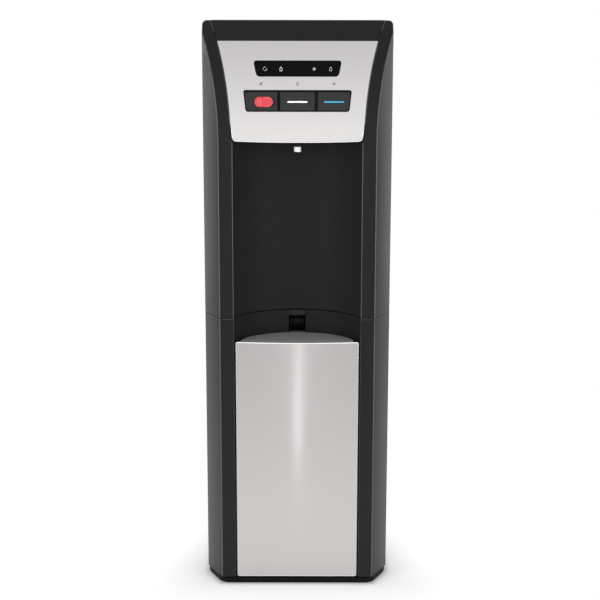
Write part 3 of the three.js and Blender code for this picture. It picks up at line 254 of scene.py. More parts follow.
# studio: white all round, a little greyer in front and overhead where only gloss sees it
studio = {
    "level": 0.8,
    "frontShade": 0.03,
    "topShade": 0.36,
    "floorReach": 14.0,
    "floorColour": 0.96,
    "shadow": 0.9,  # share of the floor's shadow that shows right beside the object
    "shadowFade": 0.105,  # it has faded out this far away
    "shadowTail": 0.3,  # and sooner behind: each metre back counts as this much more distance
    "contactShade": 0.6,  # painted contact shadow: the floor's colour is darkened where it meets the footprint
    "contactReach": 26 * mm,
    "mirrorFar": 0.745,  # as gloss sees it, the floor is this light far away
    "mirrorNear": 0.435,  # painted light: lighter by this much near the object
    "mirrorContact": 0.15,  # painted shadow: darker again by this much where it touches
    "nearFall": 0.7,  # these two fade as 1 / (1 + fall * distance squared)
    "contactFall": 12,
    "lamps": [
        # name, place, size across, size up, watts, aim
        ("backLeft", (-2.0, 1.75, 0.9), 0.9, 2.4, 4.0, (-0.15, -0.1, 0.6)),
        ("backRight", (2.0, 1.75, 0.9), 0.9, 2.4, 4.0, (0.15, -0.1, 0.6)),
        ("frontLeft", (-1.7, -1.7, 0.85), 0.8, 2.0, 22, (0, -0.2, 0.6)),
        ("frontRight", (1.7, -1.7, 0.85), 0.8, 2.0, 22, (0, -0.2, 0.6)),
        ("overhead", (0, 0.5, 2.9), 2.2, 1.0, 8, (0, 0, 0.4)),
        ("frontStrip", (0, -3.4, 0.62), 0.25, 0.8, 0.6, (0, 0, 0.6)),
        ("floorStrip", (0, -2.05, 0.004), 0.02, 2.1, 0.13, (0, -2.05, 1)),
    ],
}


def buildWorld():
    scene.world = bpy.data.worlds.new("studio")
    shader = Shader(scene.world)
    towardsFront = (shader.axis("Y", "Generated") * -1.0).clamped()
    towardsTop = shader.axis("Z", "Generated").clamped()
    shade = 1.0 - towardsFront * studio["frontShade"] - towardsTop * studio["topShade"]
    seen = shader.ray("Camera")
    strength = shade * (1.0 - seen) + seen
    level = shader.node("ShaderNodeBackground", {}, {"Color": white, "Strength": studio["level"]})
    shown = shader.node("ShaderNodeBackground", {}, {"Color": white, "Strength": strength})
    mixed = shader.mixed(shader.shownRays(), level, shown)
    shader.node("ShaderNodeOutputWorld", {}, {"Surface": mixed})


# the floor shows white and fades into its own matte shading, with the shadow, beside the object
def floorMaterial():
    made = bpy.data.materials.new("floorWhite")
    shader = Shader(made)
    x, y = shader.axis("X"), shader.axis("Y")
    aside = abs(x) - bodyForm["halfWidth"]
    lengthwise = abs(y) + bodyForm["frontY"]
    gap = (aside.atLeast(0) ** 2 + lengthwise.atLeast(0) ** 2) ** 0.5
    behind = (y - bodyForm["frontY"]).atLeast(0)
    far = ((gap + behind * studio["shadowTail"]) / studio["shadowFade"]).clamped()
    whiteness = far * studio["shadow"] + (1 - studio["shadow"])
    # the painted contact shadow goes by the distance from the footprint, its front corners cut off at the
    # chamfers
    run, depth = bodyForm["chamferRun"], bodyForm["chamferDepth"]
    ahead = bodyForm["frontY"] - y
    slanted = (aside * depth + ahead * run + run * depth) / math.hypot(run, depth)
    away = slanted.atLeast(aside).atLeast(lengthwise)
    near = (1.0 - away.atLeast(0) / studio["contactReach"]).clamped() ** 4
    pale = studio["floorColour"]
    colour = shader.blend(near * studio["contactShade"], rgb(pale, pale, pale), rgb(0, 0, 0))
    matte = shader.node("ShaderNodeBsdfDiffuse", {}, {"Color": colour})
    # painted reflected light and shadow: glossy rays see the floor glow lighter near the object and darker
    # where it touches
    nearness = 1.0 / (gap * gap * studio["nearFall"] + 1)
    contact = 1.0 / (gap * gap * studio["contactFall"] + 1)
    mirrored = nearness * studio["mirrorNear"] + studio["mirrorFar"] - contact * studio["mirrorContact"]
    seen = shader.ray("Camera")
    strength = seen + mirrored * (1.0 - seen)
    glow = shader.node("ShaderNodeEmission", {}, {"Color": white, "Strength": strength})
    mixed = shader.mixed(shader.shownRays() * whiteness, matte, glow)
    shader.node("ShaderNodeOutputMaterial", {}, {"Surface": mixed})
    return made


def buildFloor():
    reach = studio["floorReach"]
    mesh = bpy.data.meshes.new("floor")
    corners = [(-reach, -reach, 0), (reach, -reach, 0), (reach, reach, 0), (-reach, reach, 0)]
    mesh.from_pydata(corners, [], [(0, 1, 2, 3)])
    mesh.materials.append(floorMaterial())
    addToScene("floor", mesh)


def buildLamps():
    for name, place, across, up, watts, aim in studio["lamps"]:
        data = bpy.data.lights.new(name, "AREA")
        data.shape = "RECTANGLE"
        data.size, data.size_y = across, up
        data.energy = watts
        lamp = addToScene(name, data)
        lamp.location = place
        towards = Vector(aim) - Vector(place)
        lamp.rotation_euler = towards.to_track_quat("-Z", "Y").to_euler()
        lamp.visible_camera = False


addCamera()
buildWorld()
buildFloor()
buildLamps()
print("camera, world, floor and lamps set")

materials, slots = {}, {}


# a material whose colour and roughness drift a little, by a broad noise and a fine grain; the grain also
# lifts the surface, and gloss is the strength of the mirror-like reflection
def finish(name, slotName, colour, drift, roughness, spread, metallic=0.0, gloss=0.5, grain=900,
           depth=0.0, stretch=(1, 1, 1), others=None):
    made = bpy.data.materials.new(name)
    shader = Shader(made)
    broad = shader.noise(9.0, detail=3.0)
    fine = shader.noise(grain, stretch)
    darker = rgb(*[channel * (1 - drift) for channel in colour])
    lighter = rgb(*[min(1, channel * (1 + drift)) for channel in colour])
    inputs = {
        "Base Color": shader.blend((broad * 0.55 + fine * 0.45).clamped(), darker, lighter),
        "Roughness": ((broad + fine - 1.0) * spread + roughness).clamped(),
        "Metallic": metallic,
        "Specular IOR Level": gloss,
        **(others or {}),
    }
    if depth:
        inputs["Normal"] = shader.node("ShaderNodeBump", {}, {"Height": fine, "Distance": depth * mm})
    principled = shader.node("ShaderNodeBsdfPrincipled", {}, inputs)
    shader.node("ShaderNodeOutputMaterial", {}, {"Surface": principled})
    materials[name] = made
    slots[name] = slotName


# first of each: name, slot, colour, its drift, roughness, its spread
# moulded plastics
finish("mouldedBlack", "matte_black", (0.0062, 0.006, 0.0065), 0.12, 0.3, 0.05,
       gloss=0.235, grain=1500, depth=0.02)
# its rounded edges: a lighter black with more gloss, a painted highlight along them
finish("edgeHighlightBlack", "matte_black", (0.062, 0.061, 0.063), 0.06, 0.28, 0.03, gloss=0.4, grain=1500)
finish("linerBlack", "liner_black", (0.0155, 0.0155, 0.016), 0.08, 0.5, 0.05,
       gloss=0.05, grain=1400, depth=0.02)
finish("catchBlack", "matte_black", (0.013, 0.013, 0.0135), 0.1, 0.36, 0.05,
       gloss=0.2, grain=1500, depth=0.02)
finish("buttonBlack", "matte_black", (0.017, 0.017, 0.0175), 0.08, 0.33, 0.04,
       gloss=0.35, grain=1700, depth=0.02)
# near black, darker than the moulding: painted shade in the joint round the door's skin, in the finger pull
# and between the buttons; the plinth is drawn in it too
finish("gapShadeBlack", "matte_black", (0.0035, 0.0035, 0.0037), 0.1, 0.45, 0.05, gloss=0.1)
finish("windowGloss", "gloss_black", (0.003, 0.003, 0.0032), 0.05, 0.12, 0.01, gloss=0.06, grain=400)
finish("innerGrey", "inner_grey", (0.13, 0.135, 0.14), 0.06, 0.5, 0.06, grain=800, depth=0.05)
finish("caseGrey", "grille_grey", (0.2, 0.205, 0.21), 0.06, 0.5, 0.05, grain=700, depth=0.04)
finish("plateGrey", "grille_grey", (0.46, 0.46, 0.465), 0.05, 0.26, 0.05,
       metallic=0.35, grain=1300, depth=0.012)
finish("sillGrey", "grille_grey", (0.13, 0.13, 0.132), 0.05, 0.3, 0.05,
       metallic=0.2, grain=1300, depth=0.012)
finish("spoutWhite", "white", (0.93, 0.935, 0.935), 0.02, 0.3, 0.03, grain=1100, depth=0.01)
finish("markWhite", "white", (0.88, 0.88, 0.88), 0.02, 0.4, 0.03)
finish("markBlue", "blue", (0.058, 0.34, 0.53), 0.04, 0.35, 0.03)
finish("lockRed", "red", (0.62, 0.05, 0.062), 0.05, 0.3, 0.03, depth=0.01)
# painted highlight: a paler red for the slider's ridges and rim
finish("lockHighlightRed", "red", (0.86, 0.16, 0.17), 0.03, 0.32, 0.03)
finish("probeBlue", "blue", (0.05, 0.22, 0.5), 0.06, 0.4, 0.04, grain=1100, depth=0.02)
# metals
finish("brushedSilver", "silver_front", (0.575, 0.545, 0.545), 0.02, 0.15, 0.01, metallic=1.0,
       grain=1400, stretch=(0.02, 1, 1), others={"Anisotropic": 1.0, "Anisotropic Rotation": 0.25})
finish("panelSilver", "silver_front", (0.80, 0.775, 0.775), 0.01, 0.32, 0.015, metallic=1.0,
       grain=1500, stretch=(0.03, 1, 1))
# painted highlight: a near-white rim for the rolled edges of the silver panel and the door's skin
finish("rimHighlight", "silver_front", (0.97, 0.965, 0.965), 0.01, 0.3, 0.03, metallic=0.35)
finish("powderCoat", "painted_steel", (0.016, 0.0165, 0.0175), 0.12, 0.42, 0.06, grain=700, depth=0.08)
finish("zincSheet", "zinc_steel", (0.52, 0.535, 0.55), 0.12, 0.38, 0.12,
       metallic=0.9, grain=120, depth=0.02)
finish("stainless", "stainless", (0.62, 0.63, 0.64), 0.04, 0.24, 0.08,
       metallic=1.0, depth=0.01, stretch=(1, 1, 0.02))
finish("enamelBlack", "black_paint", (0.01, 0.01, 0.0105), 0.1, 0.25, 0.05, grain=500, depth=0.03)
# prints, rubber, silicone, foam and circuit boards
finish("signGrey", "white", (0.42, 0.42, 0.43), 0.03, 0.5, 0.02)
finish("legendDark", "matte_black", (0.05, 0.047, 0.047), 0.03, 0.5, 0.02)
finish("padRubber", "rubber", (0.018, 0.018, 0.018), 0.15, 0.85, 0.06, grain=1100, depth=0.06)
finish("siliconeHose", "hose", (0.66, 0.7, 0.72), 0.05, 0.35, 0.05,
       grain=500, others={"Transmission Weight": 0.35})
finish("tankFoam", "foam", (0.72, 0.7, 0.62), 0.12, 0.95, 0.03, grain=260, depth=0.4)
finish("boardGreen", "board", (0.012, 0.14, 0.05), 0.2, 0.4, 0.1, grain=300, depth=0.03)
print("materials made:", len(materials))


# makes a mesh a piece with its materials and body, and the node that it stands for
def addObject(mesh, looks, body, node=None):
    piece = addToScene(mesh.name, mesh)
    mesh.materials.clear()
    for look in looks:
        mesh.materials.append(materials[look])
    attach(piece, body)
    if node:
        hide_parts(node)
    return piece


# puts a worked mesh back, shaded smooth
def store(work, mesh):
    work.to_mesh(mesh)
    work.free()
    mesh.polygons.foreach_set("use_smooth", np.ones(len(mesh.polygons), bool))


# puts points and faces into a new piece: a closed form faces outwards; an open sheet faces the front and
# gets a wall of this thickness behind it; a piece with a node's name stands for that node on its body; a
# crisp piece keeps its sharp edges sharp
def addPiece(name, parts, look, body="housing", wall=0.0, crisp=False):
    node = name if name in nodes else None
    points = np.vstack([part[0] for part in parts])
    starts = np.cumsum([0] + [len(part[0]) for part in parts])
    faces = [[index + start for index in face] for part, start in zip(parts, starts) for face in part[1]]
    mesh = bpy.data.meshes.new(name + "_form" if node else name)
    mesh.from_pydata(points.tolist(), [], faces)
    work = bmesh.new()
    work.from_mesh(mesh)
    bmesh.ops.remove_doubles(work, verts=work.verts, dist=merge)
    bmesh.ops.dissolve_degenerate(work, edges=work.edges, dist=merge)
    bmesh.ops.recalc_face_normals(work, faces=work.faces)
    work.normal_update()
    if wall:
        backwards = sum(face.normal.y * face.calc_area() for face in work.faces) > 0
        bmesh.ops.reverse_faces(work, faces=work.faces[:] if backwards else [])
    if crisp:
        for edge in work.edges:
            edge.smooth = edge.calc_face_angle(0.0) < math.radians(crispAngle)
    store(work, mesh)
    piece = addObject(mesh, [look], nodes[node]["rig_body"] if node else body, node)
    if wall:
        behind = piece.modifiers.new("wall", "SOLIDIFY")
        behind.thickness = wall
        behind.offset = -1
    return piece


# a coordinate triple of every vertex or face, as rows
def triples(items, key):
    flat = np.zeros(len(items) * 3)
    items.foreach_get(key, flat)
    return flat.reshape(-1, 3)


# gives a second material to the faces whose centres pass a test
def paintFaces(piece, look, test):
    faces = piece.data.polygons
    piece.data.materials.append(materials[look])
    chosen = test(*triples(faces, "center").T)
    faces.foreach_set("material_index", chosen.astype(np.int32))


# rounds the edges: all that turn more than the angle, or those with a weight; they take the piece's
# material of that number, or their neighbours' when it is -1; a curved sheet keeps its own shading
def addBevel(piece, width, angle, material=-1, curved=False, weighted=False):
    bevel = piece.modifiers.new("roundedEdges", "BEVEL")
    bevel.width = width * mm
    bevel.segments = 2
    bevel.limit_method = "WEIGHT" if weighted else "ANGLE"
    bevel.angle_limit = math.radians(angle)
    bevel.use_clamp_overlap = not weighted
    bevel.material = material
    bevel.harden_normals = curved
    if not curved:
        evenOut = piece.modifiers.new("evenNormals", "WEIGHTED_NORMAL")
        evenOut.mode = "FACE_AREA"
        evenOut.weight = 60
        evenOut.keep_sharp = True


# faces between the rows and columns of a grid of points; the columns may close round
def gridFaces(rows, columns, closed=False):
    i, j = np.meshgrid(np.arange(rows - 1), np.arange(columns if closed else columns - 1), indexing="ij")
    here, beside = i * columns + j, i * columns + (j + 1) % columns
    quads = np.stack([here, here + columns, beside + columns, beside], axis=-1)
    return quads.reshape(-1, 4).tolist()


# an outline in x and z, as points in space at depth y
def upright(outline, y):
    return np.column_stack([outline[:, 0], np.broadcast_to(y, len(outline)), outline[:, 1]])


# a plan in x and y, as points at one height and then at another
def atHeights(plan, bottom, top):
    return np.vstack([np.column_stack([plan, np.full(len(plan), z)]) for z in (bottom, top)])


# a slab: a closed plan carried up from one height to another, with both ends closed
def slab(plan, bottom, top):
    count = len(plan)
    ends = [list(range(count)), list(range(count, 2 * count))]
    return atHeights(plan, bottom, top), gridFaces(2, count, closed=True) + ends


# turned form: a profile of (radius, height) carried round an upright axis
def turned(profile, axis, sides=40):
    profile = np.asarray(profile, float)
    angles = np.linspace(0, 2 * np.pi, sides, endpoint=False)
    around = np.stack([profile[:, 0, None] * np.cos(angles), profile[:, 0, None] * np.sin(angles),
                       np.repeat(profile[:, 1, None], sides, axis=1)], axis=-1)
    return around.reshape(-1, 3) + np.asarray(axis), gridFaces(len(profile), sides, closed=True)


# a turned piece that stands for a node, on the node's own axis
def turnedNode(node, profile, look, sides=40):
    addPiece(node, [turned(profile, axisOf(node), sides)], look)


# distance along a line of points, up to each of them
def lengthAlong(line):
    return np.concatenate([[0], np.cumsum(np.linalg.norm(np.diff(line, axis=0), axis=1))])


# a rounded corner: the quadratic curve between two points, drawn towards the corner
def cornerCurve(start, corner, end, count=10):
    start, corner, end = np.array(start), np.array(corner), np.array(end)
    s = np.linspace(0, 1, count)[:, None]
    return (1 - s) ** 2 * start + 2 * s * (1 - s) * corner + s ** 2 * end


# rounds the corners of a profile: each becomes a curve that starts and ends a radius away from it
def roundedProfile(points, radius, count=5):
    points = np.asarray(points, float)
    rounded = [points[:1]]
    for before, here, after in zip(points, points[1:], points[2:]):
        back, ahead = before - here, after - here
        lengths = np.linalg.norm(back), np.linalg.norm(ahead)
        reach = min(radius, 0.45 * lengths[0], 0.45 * lengths[1])
        start, end = here + back * reach / lengths[0], here + ahead * reach / lengths[1]
        rounded.append(cornerCurve(start, here, end, count))
    rounded.append(points[-1:])
    return np.vstack(rounded)


# a trapezium, seen from the front, with its corners rounded, going round from its lower left; it may grow
# by a distance all round
def trapezium(form, bottom, top, grow=0.0):
    slope = (form["topWidth"] - form["bottomWidth"]) / 2 / (top - bottom)
    stretch = math.hypot(1, slope)
    reach = form["corner"] + grow

    def side(height):
        return form["bottomWidth"] / 2 + slope * (height - bottom) + grow * stretch

    low, high = bottom - grow, top + grow
    corners = np.array([(-side(low), low), (side(low), low), (side(high), high), (-side(high), high)])
    pieces = []
    for index, here in enumerate(corners):
        before = corners[index - 1] - here
        after = corners[(index + 1) % 4] - here
        start = here + before * reach / np.linalg.norm(before)
        end = here + after * reach / np.linalg.norm(after)
        pieces.append(cornerCurve(start, here, end))
    return np.vstack(pieces), corners


# cuts a closed outline at four corners and spaces each side anew, closer towards its ends
def fourSided(outline, corners, count):
    starts = [int(np.argmin(np.linalg.norm(outline - corner, axis=1))) for corner in corners]
    share = (1 - np.cos(np.pi * np.arange(count) / count)) / 2
    sides = []
    for index, start in enumerate(starts):
        stop = starts[(index + 1) % 4]
        stop += len(outline) if stop <= start else 0
        line = outline[np.arange(start, stop + 1) % len(outline)]
        along = lengthAlong(line)
        wanted = share * along[-1]
        sides.append(np.column_stack([np.interp(wanted, along, values) for values in line.T]))
    return np.vstack(sides)


crown = {
    "height": 1.4 * mm,  # how far the chamfers swell out midway across
    "heightCuts": 8,
    "depthCuts": 8,
    "end": 1000 * mm,  # above this height they stay flat
    "fade": 150 * mm,
    "shortest": 2.4 * mm,  # shorter pieces of the front crease are merged
    "pieces": ("front_frame", "door_shell"),
}


# swells the chamfers out: the faces are cut into strips, then each point moves by 4 h s (1 - s), where s
# runs from the front edge of the chamfer to its side edge; less where it narrows, and nothing at the top
def swellChamfers(work):
    run, depth = bodyForm["chamferRun"], bodyForm["chamferDepth"]
    outward = np.array([depth, -run]) / math.hypot(run, depth)

    def chamferFaces():
        return [face for face in work.faces
                if abs(abs(face.normal.x) - outward[0]) < 0.01 and abs(face.normal.y - outward[1]) < 0.01
                and face.calc_center_median().z < crown["end"] + 1 * mm]

    front = bodyForm["frontY"]
    sweepStart = bodyForm["top"] - bodyForm["sweepHeight"]
    heights = np.linspace(crown["end"], sweepStart, crown["heightCuts"])
    depths = front + depth * np.arange(1, crown["depthCuts"]) / crown["depthCuts"]
    cuts = [((0, 0, height), (0, 0, 1)) for height in heights]
    cuts += [((0, y, 0), (0, 1, 0)) for y in depths]
    for place, direction in cuts:
        faces = chamferFaces()
        edges = {edge for face in faces for edge in face.edges}
        verts = {vert for face in faces for vert in face.verts}
        around = [*faces, *edges, *verts]
        bmesh.ops.bisect_plane(work, geom=around, dist=merge, plane_co=place, plane_no=direction)
    onCrease = [edge for edge in {edge for face in chamferFaces() for edge in face.edges}
                if all(vert.co.y < float(frontSurface(vert.co.z)) + 0.5 * mm for vert in edge.verts)]
    bmesh.ops.collapse(work, edges=[edge for edge in onCrease if edge.calc_length() < crown["shortest"]])
    moved = list({vert for face in chamferFaces() for vert in face.verts})
    places = np.array([vert.co for vert in moved])
    start = frontSurface(places[:, 2])
    span = front + depth - start
    share = np.clip((places[:, 1] - start) / span, 0, 1)
    fade = np.clip((crown["end"] - places[:, 2]) / crown["fade"], 0, 1)
    swell = 4 * crown["height"] * share * (1 - share) * span / depth * fade ** 2 * (3 - 2 * fade)
    places[:, 0] += np.sign(places[:, 0]) * outward[0] * swell
    places[:, 1] += outward[1] * swell
    for vert, place in zip(moved, places):
        vert.co = place


plinth = {
    "corner": 13 * mm,
    "segments": 6,
    "angle": 20,  # edges that turn by more degrees than this are rounded
    "sole": 0.4 * mm,  # its underside's height above the floor
}


# rounds the plinth's front corners in plan and draws its sole down almost to the floor
def roundPlinth(work):
    low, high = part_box("base_plinth")
    for vert in work.verts:
        if vert.co.z < low.z + 0.1 * mm:
            vert.co.z = plinth["sole"]
    chosen = []
    for edge in work.edges:
        start, end = (vert.co for vert in edge.verts)
        steep = abs(end.z - start.z) > 0.7 * edge.calc_length()
        sharp = edge.calc_face_angle(0.0) > math.radians(plinth["angle"])
        inFront = max(start.y, end.y) < 0
        outermost = min(start.y, end.y) < low.y + 1 * mm or min(abs(start.x), abs(end.x)) > high.x - 2 * mm
        if steep and sharp and inFront and outermost:
            chosen.append(edge)
    bmesh.ops.bevel(work, geom=chosen, offset=plinth["corner"], offset_type="OFFSET", affect="EDGES",
                    segments=plinth["segments"], profile=0.5, clamp_overlap=True)


joint = {
    "beside": 3.5 * mm,  # the painted shade in the joint round the door's skin reaches this far
    "deep": 1.5 * mm,
    "edge": 0.35,  # its edges have this share of the usual radius
}
seam = {
    "height": (frameLow.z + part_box("door_shell")[1].z) / 2,
    "reach": 3 * mm,
    "above": 0.2,  # shares of the usual radius above and below the seam
    "below": 0.6,
}


def inJoint(place):
    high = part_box("door_skin")[1]
    across = abs(place.x) < high.x + joint["beside"]
    return across and place.y < high.y + joint["deep"] and place.z < high.z


# share of the usual radius: less in the joint and along the seam
def edgeShare(edge):
    ends = [vert.co for vert in edge.verts]
    if any(inJoint(end) for end in ends):
        return joint["edge"]
    if all(abs(end.z - seam["height"]) < seam["reach"] for end in ends):
        return seam["above"] if ends[0].z > seam["height"] else seam["below"]
    return 1.0


rounding = {
    "angle": 28,  # edges that turn by more degrees than this are rounded
    "room": 0.9 * mm,  # where all that meet them are longer than this
    "flat": 0.4,  # faces that turn by fewer degrees than this are joined
}


# marks the sharp edges that have room for a radius; the others stay crisp, so that they hold nothing back
def weighEdges(work):
    weight = work.edges.layers.float.new("bevel_weight_edge")
    sharp = {edge for edge in work.edges if edge.calc_face_angle(0.0) > math.radians(rounding["angle"])}
    for edge in sharp:
        near = {other for vert in edge.verts for other in vert.link_edges if other in sharp}
        roomy = min(other.calc_length() for other in near) > rounding["room"]
        edge[weight] = edgeShare(edge) if roomy else 0.0
        edge.smooth = roomy


# painted shade: the faces inside the joint round the skin are near black
def paintJointShade(work):
    for face in work.faces:
        centre = face.calc_center_median()
        if inJoint(centre) and centre.y > bodyForm["frontY"] + 0.2 * mm:
            face.material_index = 2


# a CAD piece with its edges rounded: a merged copy, flat faces joined, then a bevel
def softened(node, radius, look):
    mesh = nodes[node].data.copy()
    mesh.name = node + "_form"
    # moulded pieces also take a painted highlight for their rounded edges, and a painted shade for the
    # joint round the door's skin
    edged = look == "mouldedBlack"
    looks = [look, "edgeHighlightBlack", "gapShadeBlack"] if edged else [look]
    piece = addObject(mesh, looks, nodes[node]["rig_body"], node)
    work = bmesh.new()
    work.from_mesh(mesh)
    bmesh.ops.remove_doubles(work, verts=work.verts, dist=2 * merge)
    flat = math.radians(rounding["flat"])
    bmesh.ops.dissolve_limit(work, angle_limit=flat, verts=work.verts, edges=work.edges)
    if node in crown["pieces"]:
        swellChamfers(work)
        weighEdges(work)
    if node == "door_shell":
        paintJointShade(work)
    if node == "base_plinth":
        roundPlinth(work)
    store(work, mesh)
    addBevel(piece, radius, rounding["angle"], 1 if edged else -1, weighted=node in crown["pieces"])


# the moulded and sheet pieces keep their CAD shape, but for the forms above and these edge radii in mm
softForms = {
    "base_plinth": (0.5, "gapShadeBlack"),
    "bottle_platform": (0.8, "innerGrey"),
    "side_panel_right": (0.5, "powderCoat"),
    "side_panel_left": (0.5, "powderCoat"),
    "mid_shelf": (0.3, "zincSheet"),
    "bay_rear_wall": (0.3, "innerGrey"),
    "rear_panel": (0.3, "powderCoat"),
    "compressor_guard": (0.3, "powderCoat"),
    "cord_gland": (0.6, "padRubber"),
    "top_cover": (0.8, "mouldedBlack"),
    "front_frame": (1.4, "mouldedBlack"),
    "alcove_liner": (0.5, "linerBlack"),
    "display_board": (0.2, "boardGreen"),
    "button_bezel": (0.3, "gapShadeBlack"),
    "switch_board": (0.2, "boardGreen"),
    "spout_manifold": (0.8, "spoutWhite"),
    "hot_button": (0.6, "buttonBlack"),
    "room_button": (0.6, "buttonBlack"),
    "cold_button": (0.6, "buttonBlack"),
    "child_lock_slider": (0.5, "lockRed"),
    "room_mark": (0.15, "markWhite"),
    "cold_mark": (0.15, "markBlue"),
    "door_shell": (1.4, "mouldedBlack"),
    "door_liner": (0.6, "innerGrey"),
    "door_cup": (0.6, "linerBlack"),
    "door_catch": (0.8, "catchBlack"),
    "door_striker": (0.2, "zincSheet"),
    "drip_tray": (0.4, "linerBlack"),
    "drip_plate": (0.5, "plateGrey"),
    "door_magnet": (0.6, "padRubber"),
    "lower_hinge": (0.3, "zincSheet"),
    "upper_hinge": (0.3, "zincSheet"),
    "probe_holder": (0.6, "innerGrey"),
    "water_pump": (1.0, "caseGrey"),
    "compressor": (1.5, "enamelBlack"),
    "power_supply": (1.2, "caseGrey"),
    "switch_plate": (0.8, "mouldedBlack"),
    "heat_switch": (0.4, "lockRed"),
    "cool_switch": (0.4, "lockRed"),
    "drain_outlet": (0.4, "spoutWhite"),
    "drain_cap": (0.8, "spoutWhite"),
}
for node, (radius, look) in softForms.items():
    softened(node, radius, look)

# the lit marks are finer than their solids: each keeps its middle and this share of its height
markShare = 0.75
for node in ("room_mark", "cold_mark"):
    verts = bpy.data.objects[node + "_form"].data.vertices
    points = triples(verts, "co")
    heights = points[:, 2]
    middle = (heights.min() + heights.max()) / 2
    points[:, 2] = middle + (heights - middle) * markShare
    verts.foreach_set("co", points.ravel())
print("moulded and sheet pieces:", len(softForms))

# silver panel round the display and the buttons
panel = {
    "bow": 2.3 * mm,  # its lower edge hangs this much lower in the middle
    "corner": 8.5 * mm,
    "thickness": 2.4 * mm,
    "roll": 2.4 * mm,  # the lower edge turns in by this much
    "rollFade": 26 * mm,  # and less and less up the sides
    "display": {"bottomWidth": 148 * mm, "topWidth": 160 * mm, "corner": 6.5 * mm},
    "displayGap": 0.4 * mm,  # between the opening and the display, all round
    "displayRise": 1.2 * mm,  # and the opening's top is this much higher still
    "buttons": {"bottomWidth": 187 * mm, "topWidth": 196 * mm, "corner": 5 * mm},
    "buttonsGap": 0.3 * mm,
    "buttonsRise": 1.4 * mm,
    "acrossCount": 81,
    "edgeCount": 40,
    "sideCount": 60,
    "rows": 14,
    "rollRows": 8,
    "shine": 0.12,  # the lower edge is painted bright as a highlight where it has turned in by more than this share of its roll
    "edge": 0.35,  # radius in mm of the edges at the two openings
    "edgeAngle": 50,
}


# ring of the panel round one opening: each point lies between the opening's outline and the outer one,
# and its depth is the body's surface at its height; near the lower edge it turns in on a quarter circle
def panelRing(opening, outer, corners, rolled):
    inner = fourSided(*opening, panel["sideCount"])
    outer = fourSided(outer, corners, panel["sideCount"])
    span = np.linalg.norm(outer - inner, axis=1)
    shares = [(1 - panel["roll"] / span) * t for t in np.linspace(0, 1, panel["rows"])]
    depths = [np.zeros(len(span))] * panel["rows"]
    low = outer[:, 1].min()
    weight = np.clip((low + panel["bow"] + panel["rollFade"] - outer[:, 1]) / panel["rollFade"], 0, 1)
    weight = weight ** 2 * (3 - 2 * weight) * rolled
    for turn in np.linspace(0, np.pi / 2, panel["rollRows"] + 1)[1:]:
        shares.append(1 - panel["roll"] * (1 - math.sin(turn)) / span)
        depths.append(weight * panel["roll"] * (1 - math.cos(turn)))
    flat = inner[None] + (outer - inner)[None] * np.array(shares)[..., None]
    depth = frontSurface(flat[..., 1]) + np.array(depths)
    return upright(flat.reshape(-1, 2), depth.ravel()), gridFaces(len(shares), len(span), closed=True)


def makePanel():
    low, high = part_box("control_panel")
    displayLow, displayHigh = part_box("display_window")
    buttonsLow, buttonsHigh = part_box("button_bezel")
    split = (displayLow.z + buttonsHigh.z) / 2
    bottom = low.z + panel["bow"]
    topHalf, splitHalf, bottomHalf = [float(panelHalf(z)) for z in (high.z, split, bottom)]
    corner, inside = panel["corner"], bottomHalf - panel["corner"]
    across = np.linspace(-1, 1, panel["acrossCount"])

    def level(z, half):
        return np.column_stack([across * half, np.full(len(across), z)])

    def edge(start, stop, sign):
        heights = np.linspace(start, stop, panel["edgeCount"])
        return np.column_stack([sign * panelHalf(heights), heights])

    splitLine, topLine = level(split, splitHalf), level(high.z, topHalf)
    upper = np.vstack([splitLine, edge(split, high.z, 1), topLine[::-1], edge(high.z, split, -1)])
    # the lower edge is a parabola, and curved corners join it to the sides
    bowX = np.linspace(-inside, inside, panel["acrossCount"])
    bowLine = np.column_stack([bowX, bottom - panel["bow"] * (1 - (bowX / bottomHalf) ** 2)])
    leftSide, rightSide = edge(split, bottom + corner, -1), edge(bottom + corner, split, 1)
    left = cornerCurve(leftSide[-1], (-bottomHalf, bottom), bowLine[0])
    right = cornerCurve(bowLine[-1], (bottomHalf, bottom), rightSide[0])
    lower = np.vstack([left, bowLine, right, rightSide, splitLine[::-1], leftSide])
    upperCorners = [(-splitHalf, split), (splitHalf, split), (topHalf, high.z), (-topHalf, high.z)]
    lowerCorners = [left[5], right[5], (splitHalf, split), (-splitHalf, split)]  # midway round the curves
    display = trapezium(panel["display"], displayLow.z, displayHigh.z + panel["displayRise"],
                        panel["displayGap"])
    buttons = trapezium(panel["buttons"], buttonsLow.z, buttonsHigh.z + panel["buttonsRise"],
                        panel["buttonsGap"])
    rings = [panelRing(display, upper, upperCorners, 0), panelRing(buttons, lower, lowerCorners, 1)]
    piece = addPiece("control_panel", rings, "panelSilver", wall=panel["thickness"])
    paintFaces(piece, "rimHighlight", lambda x, y, z: y - frontSurface(z) > panel["shine"] * panel["roll"])
    addBevel(piece, panel["edge"], panel["edgeAngle"], curved=True)


makePanel()


# window over the display: a slab that follows the front surface, its edge rounded over
def makeWindow():
    low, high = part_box("display_window")
    outline = trapezium(panel["display"], low.z, high.z)[0]
    middle = outline.mean(axis=0)
    recess = recessOf("display_window")
    rings = []
    # each ring has a share of the outline's size and a depth in mm
    for share, depth in ((0, 0), (0.5, 0), (0.97, 0), (0.985, 0), (0.995, 0.15), (1, 0.5), (1, 2), (0, 2)):
        flat = middle + (outline - middle) * share
        rings.append(upright(flat, frontSurface(flat[:, 1]) + recess + depth * mm))
    parts = [(np.vstack(rings), gridFaces(len(rings), len(outline), closed=True))]
    addPiece("display_window", parts, "windowGloss")


makeWindow()

# silver skin of the door: a flat sheet whose rim turns back on a quarter circle
skin = {
    "corner": 3.2 * mm,
    "roll": 1.7 * mm,
    "flatIn": 0.25 * mm,  # the flat middle starts this far inside the roll
    "dip": 1.6 * mm,  # the top edge is this much lower at its ends
    "thickness": 0.8 * mm,
    "sideCount": 61,
    "bendCount": 12,
    "rollRows": 8,
}


